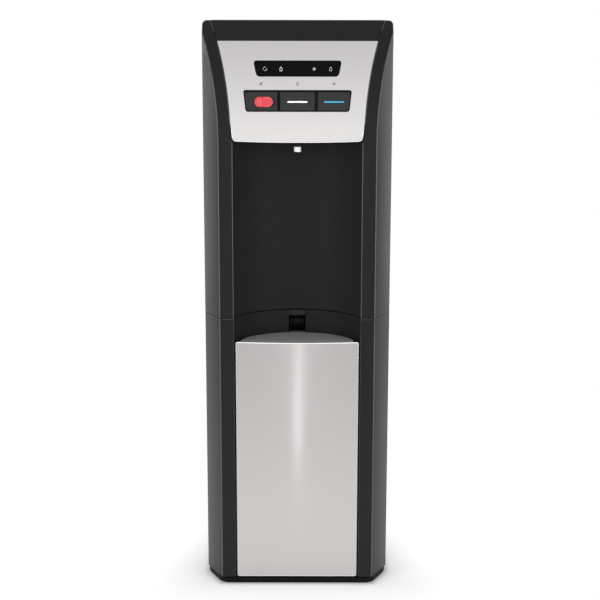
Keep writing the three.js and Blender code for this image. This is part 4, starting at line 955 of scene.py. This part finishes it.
def makeSkin():
    low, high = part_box("door_skin")
    half, bottom, corner = high.x, low.z, skin["corner"]
    count, bends, roll = skin["sideCount"], skin["bendCount"], skin["roll"]
    inside = half - corner
    top = high.z - skin["dip"] * (1 - (inside / half) ** 2)
    acrossX = np.linspace(-inside, inside, count)
    heights = np.linspace(bottom + corner, top - corner, count)
    dipped = high.z - skin["dip"] * (1 - (acrossX / half) ** 2)
    runs, inwards = [], []

    def side(x, z, inward):
        runs.append(np.column_stack(np.broadcast_arrays(x, z)))
        inwards.append(np.tile(inward, (count, 1)))

    # a corner is a quarter circle; its two end points belong to the sides
    def bend(x, z, start):
        angles = np.radians(np.linspace(start, start + 90, bends + 2)[1:-1])
        outward = np.column_stack([np.cos(angles), np.sin(angles)])
        runs.append(np.array([x, z]) + corner * outward)
        inwards.append(-outward)

    side(acrossX, bottom, (0.0, 1.0))
    bend(inside, bottom + corner, -90)
    side(half, heights, (-1.0, 0.0))
    bend(inside, top - corner, 0)
    side(acrossX[::-1], dipped[::-1], (0.0, -1.0))
    bend(-inside, top - corner, 90)
    side(-half, heights[::-1], (1.0, 0.0))
    bend(-inside, bottom + corner, 180)
    outline, inward = np.vstack(runs), np.vstack(inwards)
    turns = np.linspace(0, np.pi / 2, skin["rollRows"] + 1)
    inset = np.concatenate([[roll + skin["flatIn"]], roll * (1 - np.sin(turns))])
    depth = np.concatenate([[0], roll * (1 - np.cos(turns))])
    flat = outline[None] + inward[None] * inset[:, None, None]
    rim = upright(flat.reshape(-1, 2), low.y + np.repeat(depth, len(outline)))
    # the flat middle: each row is as wide as the rim's first ring there, and the rows dip more and more
    ring = flat[0]
    topStart = 2 * (count + bends)
    rightSide = ring[count - 1:topStart + 1]
    topLine = ring[topStart:topStart + count][::-1]
    share = (rightSide[:, 1] - ring[0, 1]) / (rightSide[-1, 1] - ring[0, 1])
    middleX = np.outer(rightSide[:, 0], np.linspace(-1, 1, count))
    middleZ = ring[0, 1] + np.outer(share, topLine[:, 1] - ring[0, 1])
    middle = np.column_stack([middleX.ravel(), middleZ.ravel()])
    parts = [
        (rim, gridFaces(len(inset), len(outline), closed=True)),
        (upright(middle, low.y), gridFaces(len(rightSide), count)),
    ]
    piece = addPiece("door_skin", parts, "brushedSilver", wall=skin["thickness"])
    # painted highlight: the top and bottom runs of the skin's turned-back rim take the bright rim material
    paintFaces(piece, "rimHighlight", lambda x, y, z: (y > low.y + 0.01 * mm) & (np.abs(x) < inside))


makeSkin()
print("silver panel and door skin made")


# a line of even width on the front surface: its edges lie half the width to each side of the path
def stroke(path, width, depth, closed=False):
    path = np.asarray(path, float)
    if closed:
        tangent = np.roll(path, -1, axis=0) - np.roll(path, 1, axis=0)
    else:
        tangent = np.gradient(path, axis=0)
    across = np.column_stack([-tangent[:, 1], tangent[:, 0]]) / np.linalg.norm(tangent, axis=1)[:, None]
    rows = np.vstack([path - across * width / 2, path + across * width / 2])
    return upright(rows, frontSurface(rows[:, 1]) + depth), gridFaces(2, len(path), closed=closed)


# the four lit signs of the display and the three signs above the buttons
signs = {
    "displaySpots": (-59 * mm, -30 * mm, 30 * mm, 60 * mm),
    "radius": 3.1 * mm,
    "line": 0.95 * mm,
    "displayProud": 0.05 * mm,
    "legendSpots": (-66 * mm, 0, 66 * mm),
    "legendRadius": 2.6 * mm,
    "legendLine": 0.9 * mm,
    "legendProud": 0.06 * mm,
    "legendRise": 12.7 * mm,  # above the button block
    "wall": 0.075 * mm,
}


def circle(centre, radius, start=0.0, stop=360.0, count=40):
    angles = np.radians(np.linspace(start, stop, count, endpoint=stop - start < 360))
    return np.column_stack([centre[0] + radius * np.cos(angles), centre[1] + radius * np.sin(angles)])


# drop: a circle drawn up to a point, x = 0.95 r sin a |cos(a/2)|^1.2, z = -1.2 r cos a
def dropOutline(centre, radius):
    angles = np.linspace(0, 2 * np.pi, 48, endpoint=False)
    x = radius * 0.95 * np.sin(angles) * np.abs(np.cos(angles / 2)) ** 1.2
    z = -radius * 1.2 * np.cos(angles)
    return np.column_stack([centre[0] + x, centre[1] + z])


def star(centre, radius, width, depth):
    spokes = []
    for angle in np.radians([30, 90, 150]):
        reach = radius * np.array([np.cos(angle), np.sin(angle)])
        spokes.append(stroke([centre - reach, centre + reach], width, depth))
    return spokes


# three upright waves side by side, each swaying by a sine of the height
def waves(centre, radius, width, depth):
    heights = np.linspace(-radius, radius, 16)
    sway = 0.22 * radius * np.sin(np.pi * heights / radius)
    return [stroke(np.column_stack([centre[0] + offset + sway, centre[1] + heights]), width, depth)
            for offset in (-0.75 * radius, 0, 0.75 * radius)]


def makeSigns():
    radius, line = signs["radius"], signs["line"]
    height = centreOf("display_window").z
    depth = recessOf("display_window") - signs["displayProud"]
    ring, flame, flake, drop = [np.array([x, height]) for x in signs["displaySpots"]]
    parts = [
        stroke(circle(ring, radius, 60, 205), line, depth),
        stroke(circle(ring, radius, 240, 385), line, depth),
        stroke(dropOutline(flame, radius), line * 1.5, depth, True),
        *star(flake, radius, line * 1.2, depth),
        stroke(circle(flake, radius * 0.55), line, depth, True),
        stroke(dropOutline(drop, radius), line, depth, True),
    ]
    addPiece("display_signs", parts, "signGrey", wall=signs["wall"])
    radius, line, depth = signs["legendRadius"], signs["legendLine"], -signs["legendProud"]
    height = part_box("button_bezel")[1].z + signs["legendRise"]
    hot, room, cold = [np.array([x, height]) for x in signs["legendSpots"]]
    parts = waves(hot, radius, line, depth) + star(cold, radius, line, depth)
    parts.append(stroke(dropOutline(room, radius), line, depth, True))
    addPiece("panel_signs", parts, "legendDark", wall=signs["wall"])


makeSigns()

# spout: a black collar under the ceiling and a white tip with an open bore
spout = {
    "radius": 6.5 * mm,
    "bore": 3.6 * mm,
    "lip": 0.9 * mm,
    "flange": 2.6 * mm,  # thickness of its flange, above the ceiling
    "ceiling": 2.5 * mm,  # the ceiling is this much lower than the liner's top
    "collarRadius": 11.5 * mm,
    "collarDrop": 13.5 * mm,
    "collarEdge": 1.5 * mm,
    "collarBevel": 0.4 * mm,
    "collarGap": 0.3 * mm,
}


def makeSpout():
    low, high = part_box("spout_nozzle")
    axis, flangeRadius = axisOf("spout_nozzle"), radiusOf("spout_nozzle")
    radius, bore, lip = spout["radius"], spout["bore"], spout["lip"]
    bends = np.linspace(0, np.pi / 2, 5)
    flangeZ = high.z - spout["flange"]
    profile = [(bore, high.z), (bore, low.z + lip)]
    profile += [(bore + lip * (1 - math.cos(a)), low.z + lip * (1 - math.sin(a))) for a in bends[1:]]
    profile += [(radius - lip * (1 - math.sin(a)), low.z + lip * (1 - math.cos(a))) for a in bends]
    profile += [(radius, flangeZ), (flangeRadius, flangeZ), (flangeRadius, high.z), (bore, high.z)]
    turnedNode("spout_nozzle", profile, "spoutWhite")
    inner, outer, edge = radius + spout["collarGap"], spout["collarRadius"], spout["collarEdge"]
    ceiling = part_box("alcove_liner")[1].z - spout["ceiling"]
    bottom = ceiling - spout["collarDrop"]
    bevel = spout["collarBevel"]
    profile = [(inner, ceiling), (inner, bottom), (outer - edge, bottom), (outer - bevel, bottom + bevel),
               (outer, bottom + edge), (outer, ceiling), (inner, ceiling)]
    addPiece("spout_collar", [turned(profile, axis)], "linerBlack")


makeSpout()


# foot pads: shallow rubber discs with a groove in the tread and rounded edges
feet = {
    "nodes": ("foot_pad_1", "foot_pad_2", "foot_pad_3", "foot_pad_4"),
    "grooveIn": 3.2 * mm,
    "grooveWidth": 1.8 * mm,
    "grooveDepth": 0.4 * mm,
    "edge": 0.5 * mm,
}


def makeFeet():
    for node in feet["nodes"]:
        top, radius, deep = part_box(node)[1].z, radiusOf(node), feet["grooveDepth"]
        outer = radius - feet["grooveIn"]
        inner = outer - feet["grooveWidth"]
        profile = [(0, 0), (inner, 0), (inner + deep, deep), (outer - deep, deep), (outer, 0), (radius, 0),
                   (radius, top), (0, top)]
        turnedNode(node, roundedProfile(profile, feet["edge"], 4), "padRubber")


makeFeet()

# bottle probe: the cap that seals on the bottle's neck, its tube and its hose
probe = {
    "wall": 1.2 * mm,
    "tipHeight": 16 * mm,  # depth of the tube's open bore
    "rim": 3 * mm,
    "rimHeight": 14 * mm,
    "shoulder": 4 * mm,
    "fitGap": 0.3 * mm,
    "ribs": 30,
    "ribDepth": 0.5 * mm,
    "hoseRadius": 4.5 * mm,
    "tipCut": 1 * mm,  # the tube's tip is this much narrower, over twice this height
    "soft": 0.6 * mm,  # radius of the small roundings
    "capSoft": 1.5 * mm,
}


def makeProbe():
    low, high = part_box("probe_tube")
    tubeRadius = radiusOf("probe_tube")
    bore, tip, cut = tubeRadius - probe["wall"], low.z + probe["tipHeight"], probe["tipCut"]
    profile = [(0, high.z), (tubeRadius, high.z), (tubeRadius, low.z + 2 * cut), (tubeRadius - cut, low.z),
               (bore, low.z), (bore, tip), (0, tip)]
    turnedNode("probe_tube", roundedProfile(profile, probe["soft"]), "stainless", 32)
    low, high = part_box("probe_cap")
    inner, outer, shoulder = tubeRadius + probe["fitGap"], radiusOf("probe_cap"), probe["shoulder"]
    neck, seat = outer - probe["rim"], high.z - probe["rimHeight"]
    profile = [(inner, low.z), (neck, low.z), (neck, seat), (outer, seat), (outer, high.z - shoulder),
               (outer - shoulder, high.z), (inner, high.z), (inner, low.z)]
    points, faces = turned(roundedProfile(profile, probe["capSoft"]), (0, 0, 0), probe["ribs"] * 6)
    # grip ribs: the rim's radius dips by a raised cosine of the angle, between the rim's two edges
    angle = np.arctan2(points[:, 1], points[:, 0])
    onRim = np.hypot(points[:, 0], points[:, 1]) > outer - probe["soft"]
    dip = probe["ribDepth"] * (1 - np.cos(probe["ribs"] * angle)) / 2 * onRim / outer
    points[:, :2] *= (1 - dip)[:, None]
    addPiece("probe_cap", [(points + np.array(axisOf("probe_cap")), faces)], "probeBlue")
    low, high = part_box("probe_hose")
    radius = probe["hoseRadius"]
    profile = [(0, low.z), (radius, low.z), (radius, high.z), (0, high.z)]
    turnedNode("probe_hose", roundedProfile(profile, probe["soft"]), "siliconeHose", 32)


makeProbe()

# tanks: drawn steel shells with a rolled seam, the cold one in a foam jacket
tanks = {
    "wall": 1.4 * mm,
    "shoulder": 11 * mm,
    "seam": 1.2 * mm,  # how far the seam stands out
    "seamHalf": 2.5 * mm,  # half its height, and the same with its slopes
    "seamFoot": 4 * mm,
    "neck": 3.2 * mm,
    "neckHeight": 18 * mm,
    "neckWall": 1 * mm,
    "jacket": 20 * mm,
    "jacketGap": 0.3 * mm,
    "jacketSoft": 4 * mm,  # radius of its roundings
    "legs": 24 * mm,
    "legsIn": 16 * mm,
    "legRadius": 3.5 * mm,
    "footRadius": 6 * mm,
    "footHeight": 3 * mm,
    "legSoft": 1 * mm,
    "sunk": 0.6 * mm,  # the legs' tops in the tank's bottom
}


# shell of a tank: out along the bottom, up the side with the seam midway, in to the neck, and back inside
def tankShell(node, bottom, top):
    wall, neck, shoulder = tanks["wall"], tanks["neck"], tanks["shoulder"]
    radius, middle = radiusOf(node), (bottom + top) / 2
    side, bore = radius - tanks["seam"], neck - tanks["neckWall"]
    seam, seamFoot, neckTop = tanks["seamHalf"], tanks["seamFoot"], top + tanks["neckHeight"]
    outside = [(0, bottom), (side - shoulder, bottom), (side, bottom + shoulder), (side, middle - seamFoot),
               (radius, middle - seam), (radius, middle + seam), (side, middle + seamFoot),
               (side, top - shoulder), (side - shoulder, top), (neck, top), (neck, neckTop)]
    inside = [(bore, neckTop), (bore, top - wall), (side - shoulder, top - wall),
              (side - wall, top - shoulder), (side - wall, bottom + shoulder),
              (side - shoulder, bottom + wall), (0, bottom + wall)]
    profile = np.vstack([roundedProfile(outside, shoulder * 0.8), roundedProfile(inside, shoulder * 0.8)])
    return turned(profile, axisOf(node), 64)


def makeTanks():
    low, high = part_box("cold_tank")
    shell = tankShell("cold_tank", low.z, high.z - tanks["neckHeight"])
    addPiece("cold_tank", [shell], "stainless")
    jacketLow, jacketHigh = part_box("cold_tank_jacket")
    inner = radiusOf("cold_tank") + tanks["jacketGap"]
    outer, floorTop = inner + tanks["jacket"], low.z - tanks["jacketGap"]
    profile = [(0, jacketLow.z), (outer, jacketLow.z), (outer, jacketHigh.z), (inner, jacketHigh.z),
               (inner, floorTop), (0, floorTop)]
    turnedNode("cold_tank_jacket", roundedProfile(profile, tanks["jacketSoft"]), "tankFoam", 64)
    low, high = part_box("hot_tank")
    bottom = low.z + tanks["legs"]
    parts = [tankShell("hot_tank", bottom, high.z - tanks["neckHeight"])]
    foot, shank, legTop = tanks["footRadius"], tanks["legRadius"], bottom + tanks["sunk"]
    footTop = low.z + tanks["footHeight"]
    leg = [(0, low.z), (foot, low.z), (foot, (low.z + footTop) / 2), (shank, footTop), (shank, legTop),
           (0, legTop)]
    leg = roundedProfile(leg, tanks["legSoft"])
    x, y, z = axisOf("hot_tank")
    reach = radiusOf("hot_tank") - tanks["legsIn"]
    for turn in np.radians([0, 120, 240]):
        parts.append(turned(leg, (x + reach * math.cos(turn), y + reach * math.sin(turn), z), 24))
    addPiece("hot_tank", parts, "stainless")


makeTanks()


# directions across and up at each point of a path, turned from point to point by as little as possible
def pathFrames(path):
    tangents = np.gradient(path, axis=0)
    tangents /= np.linalg.norm(tangents, axis=1, keepdims=True)
    first = np.cross(tangents[0], (0, 0, 1) if abs(tangents[0][2]) < 0.9 else (1, 0, 0))
    across = [first / np.linalg.norm(first)]
    for tangent in tangents[1:]:
        side = across[-1] - tangent * np.dot(across[-1], tangent)
        across.append(side / np.linalg.norm(side))
    across = np.array(across)
    return across, np.cross(tangents, across)


# tube: rings of the given radii, each on a point of the path and square to it
def tubeRings(path, picks, radii, sides=20):
    across, up = pathFrames(path)
    angles = np.linspace(0, 2 * np.pi, sides, endpoint=False)[None, :, None]
    ring = np.cos(angles) * across[picks][:, None] + np.sin(angles) * up[picks][:, None]
    points = path[picks][:, None] + np.asarray(radii)[:, None, None] * ring
    return points.reshape(-1, 3), gridFaces(len(picks), sides, closed=True)


# tube with closed ends: its first and last rings have no radius
def plainTube(path, radius, sides=16):
    last = len(path) - 1
    return tubeRings(path, [0, *range(last + 1), last], [0, *[radius] * (last + 1), 0], sides)


# smooth curve through a few points: each coordinate is a cubic between neighbours (Catmull-Rom)
def smoothPath(points, steps=14):
    points = np.asarray(points, float)
    padded = np.vstack([2 * points[0] - points[1], points, 2 * points[-1] - points[-2]])
    t = np.linspace(0, 1, steps, endpoint=False)[:, None]
    runs = []
    for before, start, end, after in zip(padded, padded[1:], padded[2:], padded[3:]):
        square = 2 * before - 5 * start + 4 * end - after
        cube = 3 * start - before - 3 * end + after
        runs.append(0.5 * (2 * start + (end - before) * t + square * t ** 2 + cube * t ** 3))
    return np.vstack(runs + [points[-1:]])


# silicone hoses from the pump and the tanks up to the dispensing head, open where they go over a port
hoses = {
    "radius": 5 * mm,
    "bore": 3.35 * mm,
    "socket": 9 * mm,
    "portSpacing": 19 * mm,
    "portRise": 43 * mm,  # the ports above the spout's tip
    "portRun": 22 * mm,  # straight stretch behind a port
    "pumpRadius": 26 * mm,
    "sweep": 40 * mm,  # sideways sweep of the hose from the pump
    "riser": (12 * mm, 26 * mm),  # straight stretch above a tank: its middle and its end
    "pumpRiser": (14 * mm, 40 * mm),
    "bendBack": 14 * mm,  # the outer hoses bend this far behind the middle of tank and port
    "bendRise": 6 * mm,  # and this much higher than the ports
}


# hose: an outer wall from end to end that turns in over the rim and runs back along a blind bore
def hosePiece(node, knots):
    path = smoothPath(knots)
    along = lengthAlong(path)
    last = len(path) - 1
    first = int(np.searchsorted(along, hoses["socket"]))
    final = int(np.searchsorted(along, along[-1] - hoses["socket"]))
    radius, bore = hoses["radius"], hoses["bore"]
    picks = [first, *range(first, -1, -1), *range(last + 1), *range(last, final - 1, -1), final]
    radii = [0, *[bore] * (first + 1), *[radius] * (last + 1), *[bore] * (last - final + 1), 0]
    addPiece(node, [tubeRings(path, picks, radii)], "siliconeHose")


def makeHoses():
    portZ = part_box("spout_nozzle")[0].z + hoses["portRise"]
    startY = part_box("room_hose")[0].y
    run, sweep, rise = hoses["portRun"], hoses["sweep"], hoses["bendRise"]
    middle, end = hoses["riser"]
    pumpMiddle, pumpEnd = hoses["pumpRiser"]

    def portEnd(x):
        return [(x, startY + run, portZ), (x, startY + run / 2, portZ), (x, startY, portZ)]

    for node, tank, sign in (("hot_hose", "hot_tank", 1), ("cold_hose", "cold_tank", -1)):
        x, y = axisOf(tank)[:2]
        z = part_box(node)[0].z
        portX = sign * hoses["portSpacing"]
        bend = ((x + portX) / 2, (y + startY) / 2 + hoses["bendBack"], portZ + rise)
        hosePiece(node, [(x, y, z), (x, y, z + middle), (x, y, z + end), bend, *portEnd(portX)])
    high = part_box("water_pump")[1]
    x, y = high.x - hoses["pumpRadius"], high.y - hoses["pumpRadius"]
    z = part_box("room_hose")[0].z
    bends = [(x + sweep, y - sweep, portZ - sweep), (-sweep, startY + 4 * sweep, portZ - rise)]
    riser = [(x, y, z), (x, y, z + pumpMiddle), (x, y, z + pumpEnd)]
    hosePiece("room_hose", [*riser, *bends, *portEnd(0)])


makeHoses()

# cooling unit: the filter dryer and the condenser, a serpentine tube with wires across it and two rails
cooling = {
    "dryerNeck": 4 * mm,
    "dryerSoft": 5 * mm,  # radius of its roundings
    "tube": 2.4 * mm,
    "clear": 1.6 * mm,  # behind the tube, to the back of the box
    "pitch": 53 * mm,
    "runs": 10,
    "railsIn": 34 * mm,  # rails in from the coil's sides
    "railHalf": 5 * mm,
    "railSheet": 1.2 * mm,
    "railEnd": 14 * mm,
    "wire": 0.7 * mm,
    "wires": 22,
    "wireEnd": 5 * mm,  # beyond the first and last runs
}


def makeDryer():
    low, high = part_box("filter_dryer")
    radius, neck = radiusOf("filter_dryer"), cooling["dryerNeck"]
    profile = [(0, low.z), (neck, low.z), (radius, low.z + radius), (radius, high.z - radius),
               (neck, high.z), (0, high.z)]
    turnedNode("filter_dryer", roundedProfile(profile, cooling["dryerSoft"]), "zincSheet")


# serpentine: straight runs one pitch apart, joined by half circles at alternate ends
def serpentine(half, y, bottom, pitch, runs):
    bend = pitch / 2
    turns = np.linspace(-np.pi / 2, np.pi / 2, 17)[1:-1]
    pieces = []
    for run in range(runs):
        sign = 1 if run % 2 == 0 else -1
        z = bottom + run * pitch
        ends = [(-sign * (half - bend), z), (sign * (half - bend), z)]
        pieces.append(np.linspace(*np.array(ends), 6))
        if run < runs - 1:
            x = sign * (half - bend + bend * np.cos(turns))
            pieces.append(np.column_stack([x, z + bend + bend * np.sin(turns)]))
    return upright(np.vstack(pieces), y)


def makeCondenser():
    low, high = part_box("condenser_coil")
    tube, pitch, runs, wire = cooling["tube"], cooling["pitch"], cooling["runs"], cooling["wire"]
    y = high.y - cooling["clear"] - tube
    half, bottom = high.x - tube, low.z + cooling["railEnd"]
    top = bottom + (runs - 1) * pitch
    parts = [plainTube(serpentine(half, y, bottom, pitch, runs), tube)]
    railX, reach = half - cooling["railsIn"], half - pitch / 2
    heights = np.linspace(bottom - cooling["wireEnd"], top + cooling["wireEnd"], 4)
    for index, x in enumerate(np.linspace(-reach, reach, cooling["wires"])):
        side = 1 if index % 2 == 0 else -1
        if abs(abs(x) - railX) > cooling["railHalf"] + 2 * wire:
            path = np.column_stack([np.full(4, x), np.full(4, y + side * (tube + wire)), heights])
            parts.append(plainTube(path, wire, 8))
    # rails: a channel section carried up from below the first run to above the last
    half, sheet = cooling["railHalf"], cooling["railSheet"]
    front, web, back = low.y, low.y + sheet, high.y
    section = np.array([(-half, front), (half, front), (half, back), (half - sheet, back),
                        (half - sheet, web), (sheet - half, web), (sheet - half, back), (-half, back)])
    for sign in (-1, 1):
        parts.append(slab(section + (sign * railX, 0), low.z, high.z))
    addPiece("condenser_coil", parts, "enamelBlack", crisp=True)


makeDryer()
makeCondenser()
print("inner and rear pieces made")

# child lock: its left half is a raised knob with two finger ridges, and a rim runs round the pill; ridges
# and rim are painted paler red as highlights
slider = {
    "inset": 0.8 * mm,
    "knobShare": 0.52,
    "rise": 0.7 * mm,
    "edge": 0.9 * mm,
    "sunk": 0.1 * mm,  # the knob's foot in the pill
    "knobWall": 0.3 * mm,
    "ridges": (0.2, 0.34),  # along the pill
    "ridgeWidth": 1.1 * mm,
    "ridgeHalf": 6 * mm,
    "ridgeRise": 0.25 * mm,
    "rimWidth": 0.8 * mm,
    "rimRise": 0.15 * mm,
    "rimGap": 0.6 * mm,  # between the rim's ends and the knob
    "lineWall": 0.35 * mm,
}


def makeSlider():
    low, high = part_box("child_lock_slider")
    middleZ = centreOf("child_lock_slider").z
    radius, length = (high.z - low.z) / 2, high.x - low.x
    inner = radius - slider["inset"]
    base = recessOf("child_lock_slider")
    # knob: across u and up v; its height climbs a quarter circle from the outline
    v = np.linspace(-1, 1, 33)[:, None]
    u = np.linspace(0, 1, 41)[None]
    left = low.x + radius - inner * np.sqrt(1 - v ** 2)
    right = low.x + length * slider["knobShare"]
    x = left + (right - left) * u
    z = middleZ + inner * v + 0 * u
    inside = np.minimum(np.minimum(x - left, right - x), inner * (1 - np.abs(v)))
    climb = np.clip(inside / slider["edge"], 0, 1)
    y = frontSurface(z) + base + slider["sunk"] - slider["rise"] * np.sqrt(1 - (1 - climb) ** 2)
    parts = [(np.column_stack([x.ravel(), y.ravel(), z.ravel()]), gridFaces(33, 41))]
    addPiece("child_lock_knob", parts, "lockRed", "child_lock", wall=slider["knobWall"])
    heights = middleZ + np.linspace(-1, 1, 8) * slider["ridgeHalf"]
    ridgeDepth = base - slider["rise"] - slider["ridgeRise"]
    parts = []
    for share in slider["ridges"]:
        path = np.column_stack([np.full(8, low.x + length * share), heights])
        parts.append(stroke(path, slider["ridgeWidth"], ridgeDepth))
    start = right + slider["rimGap"]
    end = circle((high.x - radius, middleZ), inner, -90, 90, 24)
    rim = np.vstack([[(start, middleZ - inner)], end, [(start, middleZ + inner)]])
    parts.append(stroke(rim, slider["rimWidth"], base - slider["rimRise"]))
    addPiece("child_lock_ridges", parts, "lockHighlightRed", "child_lock", wall=slider["lineWall"])


makeSlider()

# finger pull: a near-black lining with upright ribs at the back, its darkness partly painted shade of the
# recess, and a small sill below, behind the drip plate
pull = {
    "sideGap": 0.3 * mm,  # lining's sides beyond the catch's
    "backGap": 3.3 * mm,
    "setBack": 2 * mm,
    "below": 0.5 * mm,  # the lining starts this far below the drip plate's top
    "topGap": 0.6 * mm,  # and ends this far below the catch
    "ribs": 5,
    "ribDepth": 1.2 * mm,
    "wall": 0.2 * mm,
    "sillIn": 1.2 * mm,
    "sillGap": 0.6 * mm,
    "sillReach": 11.4 * mm,
    "sillBelow": 0.05 * mm,
    "sillThickness": 0.6 * mm,
    "sillCorner": 2.5 * mm,
}


def makePull():
    low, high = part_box("door_catch")
    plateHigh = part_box("drip_plate")[1]
    half, backY, frontY = high.x + pull["sideGap"], high.y + pull["backGap"], low.y + pull["setBack"]
    # plan of the lining: in along one side, across the back with ribs of raised cosine form, out again
    u = np.linspace(0, 1, 121)
    ribs = backY - pull["ribDepth"] * (1 - np.cos(2 * np.pi * pull["ribs"] * u)) / 2
    plan = np.vstack([[(-half, frontY)], np.column_stack([half * (2 * u - 1), ribs]), [(half, frontY)]])
    rows = atHeights(plan, plateHigh.z - pull["below"], low.z - pull["topGap"])
    parts = [(rows, gridFaces(2, len(plan)))]
    addPiece("pull_lining", parts, "gapShadeBlack", "door", wall=pull["wall"])
    # sill: a thin tongue with its far corners rounded
    half, corner = half - pull["sillIn"], pull["sillCorner"]
    start = plateHigh.y + pull["sillGap"]
    end = start + pull["sillReach"]
    right = cornerCurve((half, end - corner), (half, end), (half - corner, end), 7)
    plan = np.vstack([[(-half, start), (half, start)], right, right[::-1] * (-1, 1)])
    top = plateHigh.z - pull["sillBelow"]
    parts = [slab(plan, top - pull["sillThickness"], top)]
    addPiece("pull_sill", parts, "sillGrey", "door", crisp=True)


makePull()

# front lip of the drip plate: a thin strip over the door's rim, almost up to the silver skin
lip = {
    "start": 0.4 * mm,  # behind the plate's front edge
    "skinGap": 0.7 * mm,
    "sideIn": 1 * mm,
    "corner": 3 * mm,
    "below": 0.1 * mm,
    "thickness": 0.35 * mm,
}


def makeLip():
    plateLow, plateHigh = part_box("drip_plate")
    back, front = plateLow.y + lip["start"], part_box("door_skin")[1].y + lip["skinGap"]
    half, top, corner = plateHigh.x - lip["sideIn"], plateHigh.z - lip["below"], lip["corner"]
    right = cornerCurve((half - corner, front), (half, front), (half, front + corner), 7)
    plan = np.vstack([right, [(half, back), (-half, back)], right[::-1] * (-1, 1)])
    parts = [slab(plan, top - lip["thickness"], top)]
    addPiece("drip_plate_lip", parts, "plateGrey", nodes["drip_plate"]["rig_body"], crisp=True)


makeLip()

# screws on the back: a low dome with a cross pressed into it
screws = {
    "radius": 3.6 * mm,
    "height": 1.5 * mm,
    "crossWidth": 0.55 * mm,
    "crossReach": 2.1 * mm,
    "crossDepth": 0.9 * mm,
    "rings": 17,
    "sides": 64,
    "panelX": 143 * mm,
    "panelHeights": (316 * mm, 560 * mm, 800 * mm, 950 * mm),
    "guardHeights": (26 * mm, 285 * mm),
    "plateIn": 5 * mm,
}


# dome over radius and angle, less a dip that follows two crossed bars; its outermost ring is closed
def screwHead(x, y, z):
    rings, sides = screws["rings"], screws["sides"]
    share = np.linspace(0, 1, rings)[:, None]
    angles = np.linspace(0, 2 * np.pi, sides, endpoint=False)[None]
    reach = screws["radius"] * share
    across, up = reach * np.cos(angles), reach * np.sin(angles)
    dome = screws["height"] * np.sqrt(np.maximum(0, 1 - share ** 2.4))
    offBar = np.minimum(np.abs(across), np.abs(up))
    dip = np.exp(-(offBar / screws["crossWidth"]) ** 4 - (reach / screws["crossReach"]) ** 6)
    height = np.maximum(dome - screws["crossDepth"] * dip, 0)
    points = np.stack([x + across, y + height, z + up], axis=-1).reshape(-1, 3)
    last = (rings - 1) * sides
    return points, gridFaces(rings, sides, closed=True) + [list(range(last, last + sides))]


def makeScrews():
    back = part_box("rear_panel")[1].y
    low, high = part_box("switch_plate")
    middleZ = centreOf("switch_plate").z
    spots = [(side * screws["panelX"], back, z) for side in (-1, 1)
             for z in screws["panelHeights"] + screws["guardHeights"]]
    spots += [(x, high.y, middleZ) for x in (low.x + screws["plateIn"], high.x - screws["plateIn"])]
    addPiece("rear_screws", [screwHead(*spot) for spot in spots], "stainless")


makeScrews()
print("child lock, finger pull and screws made")
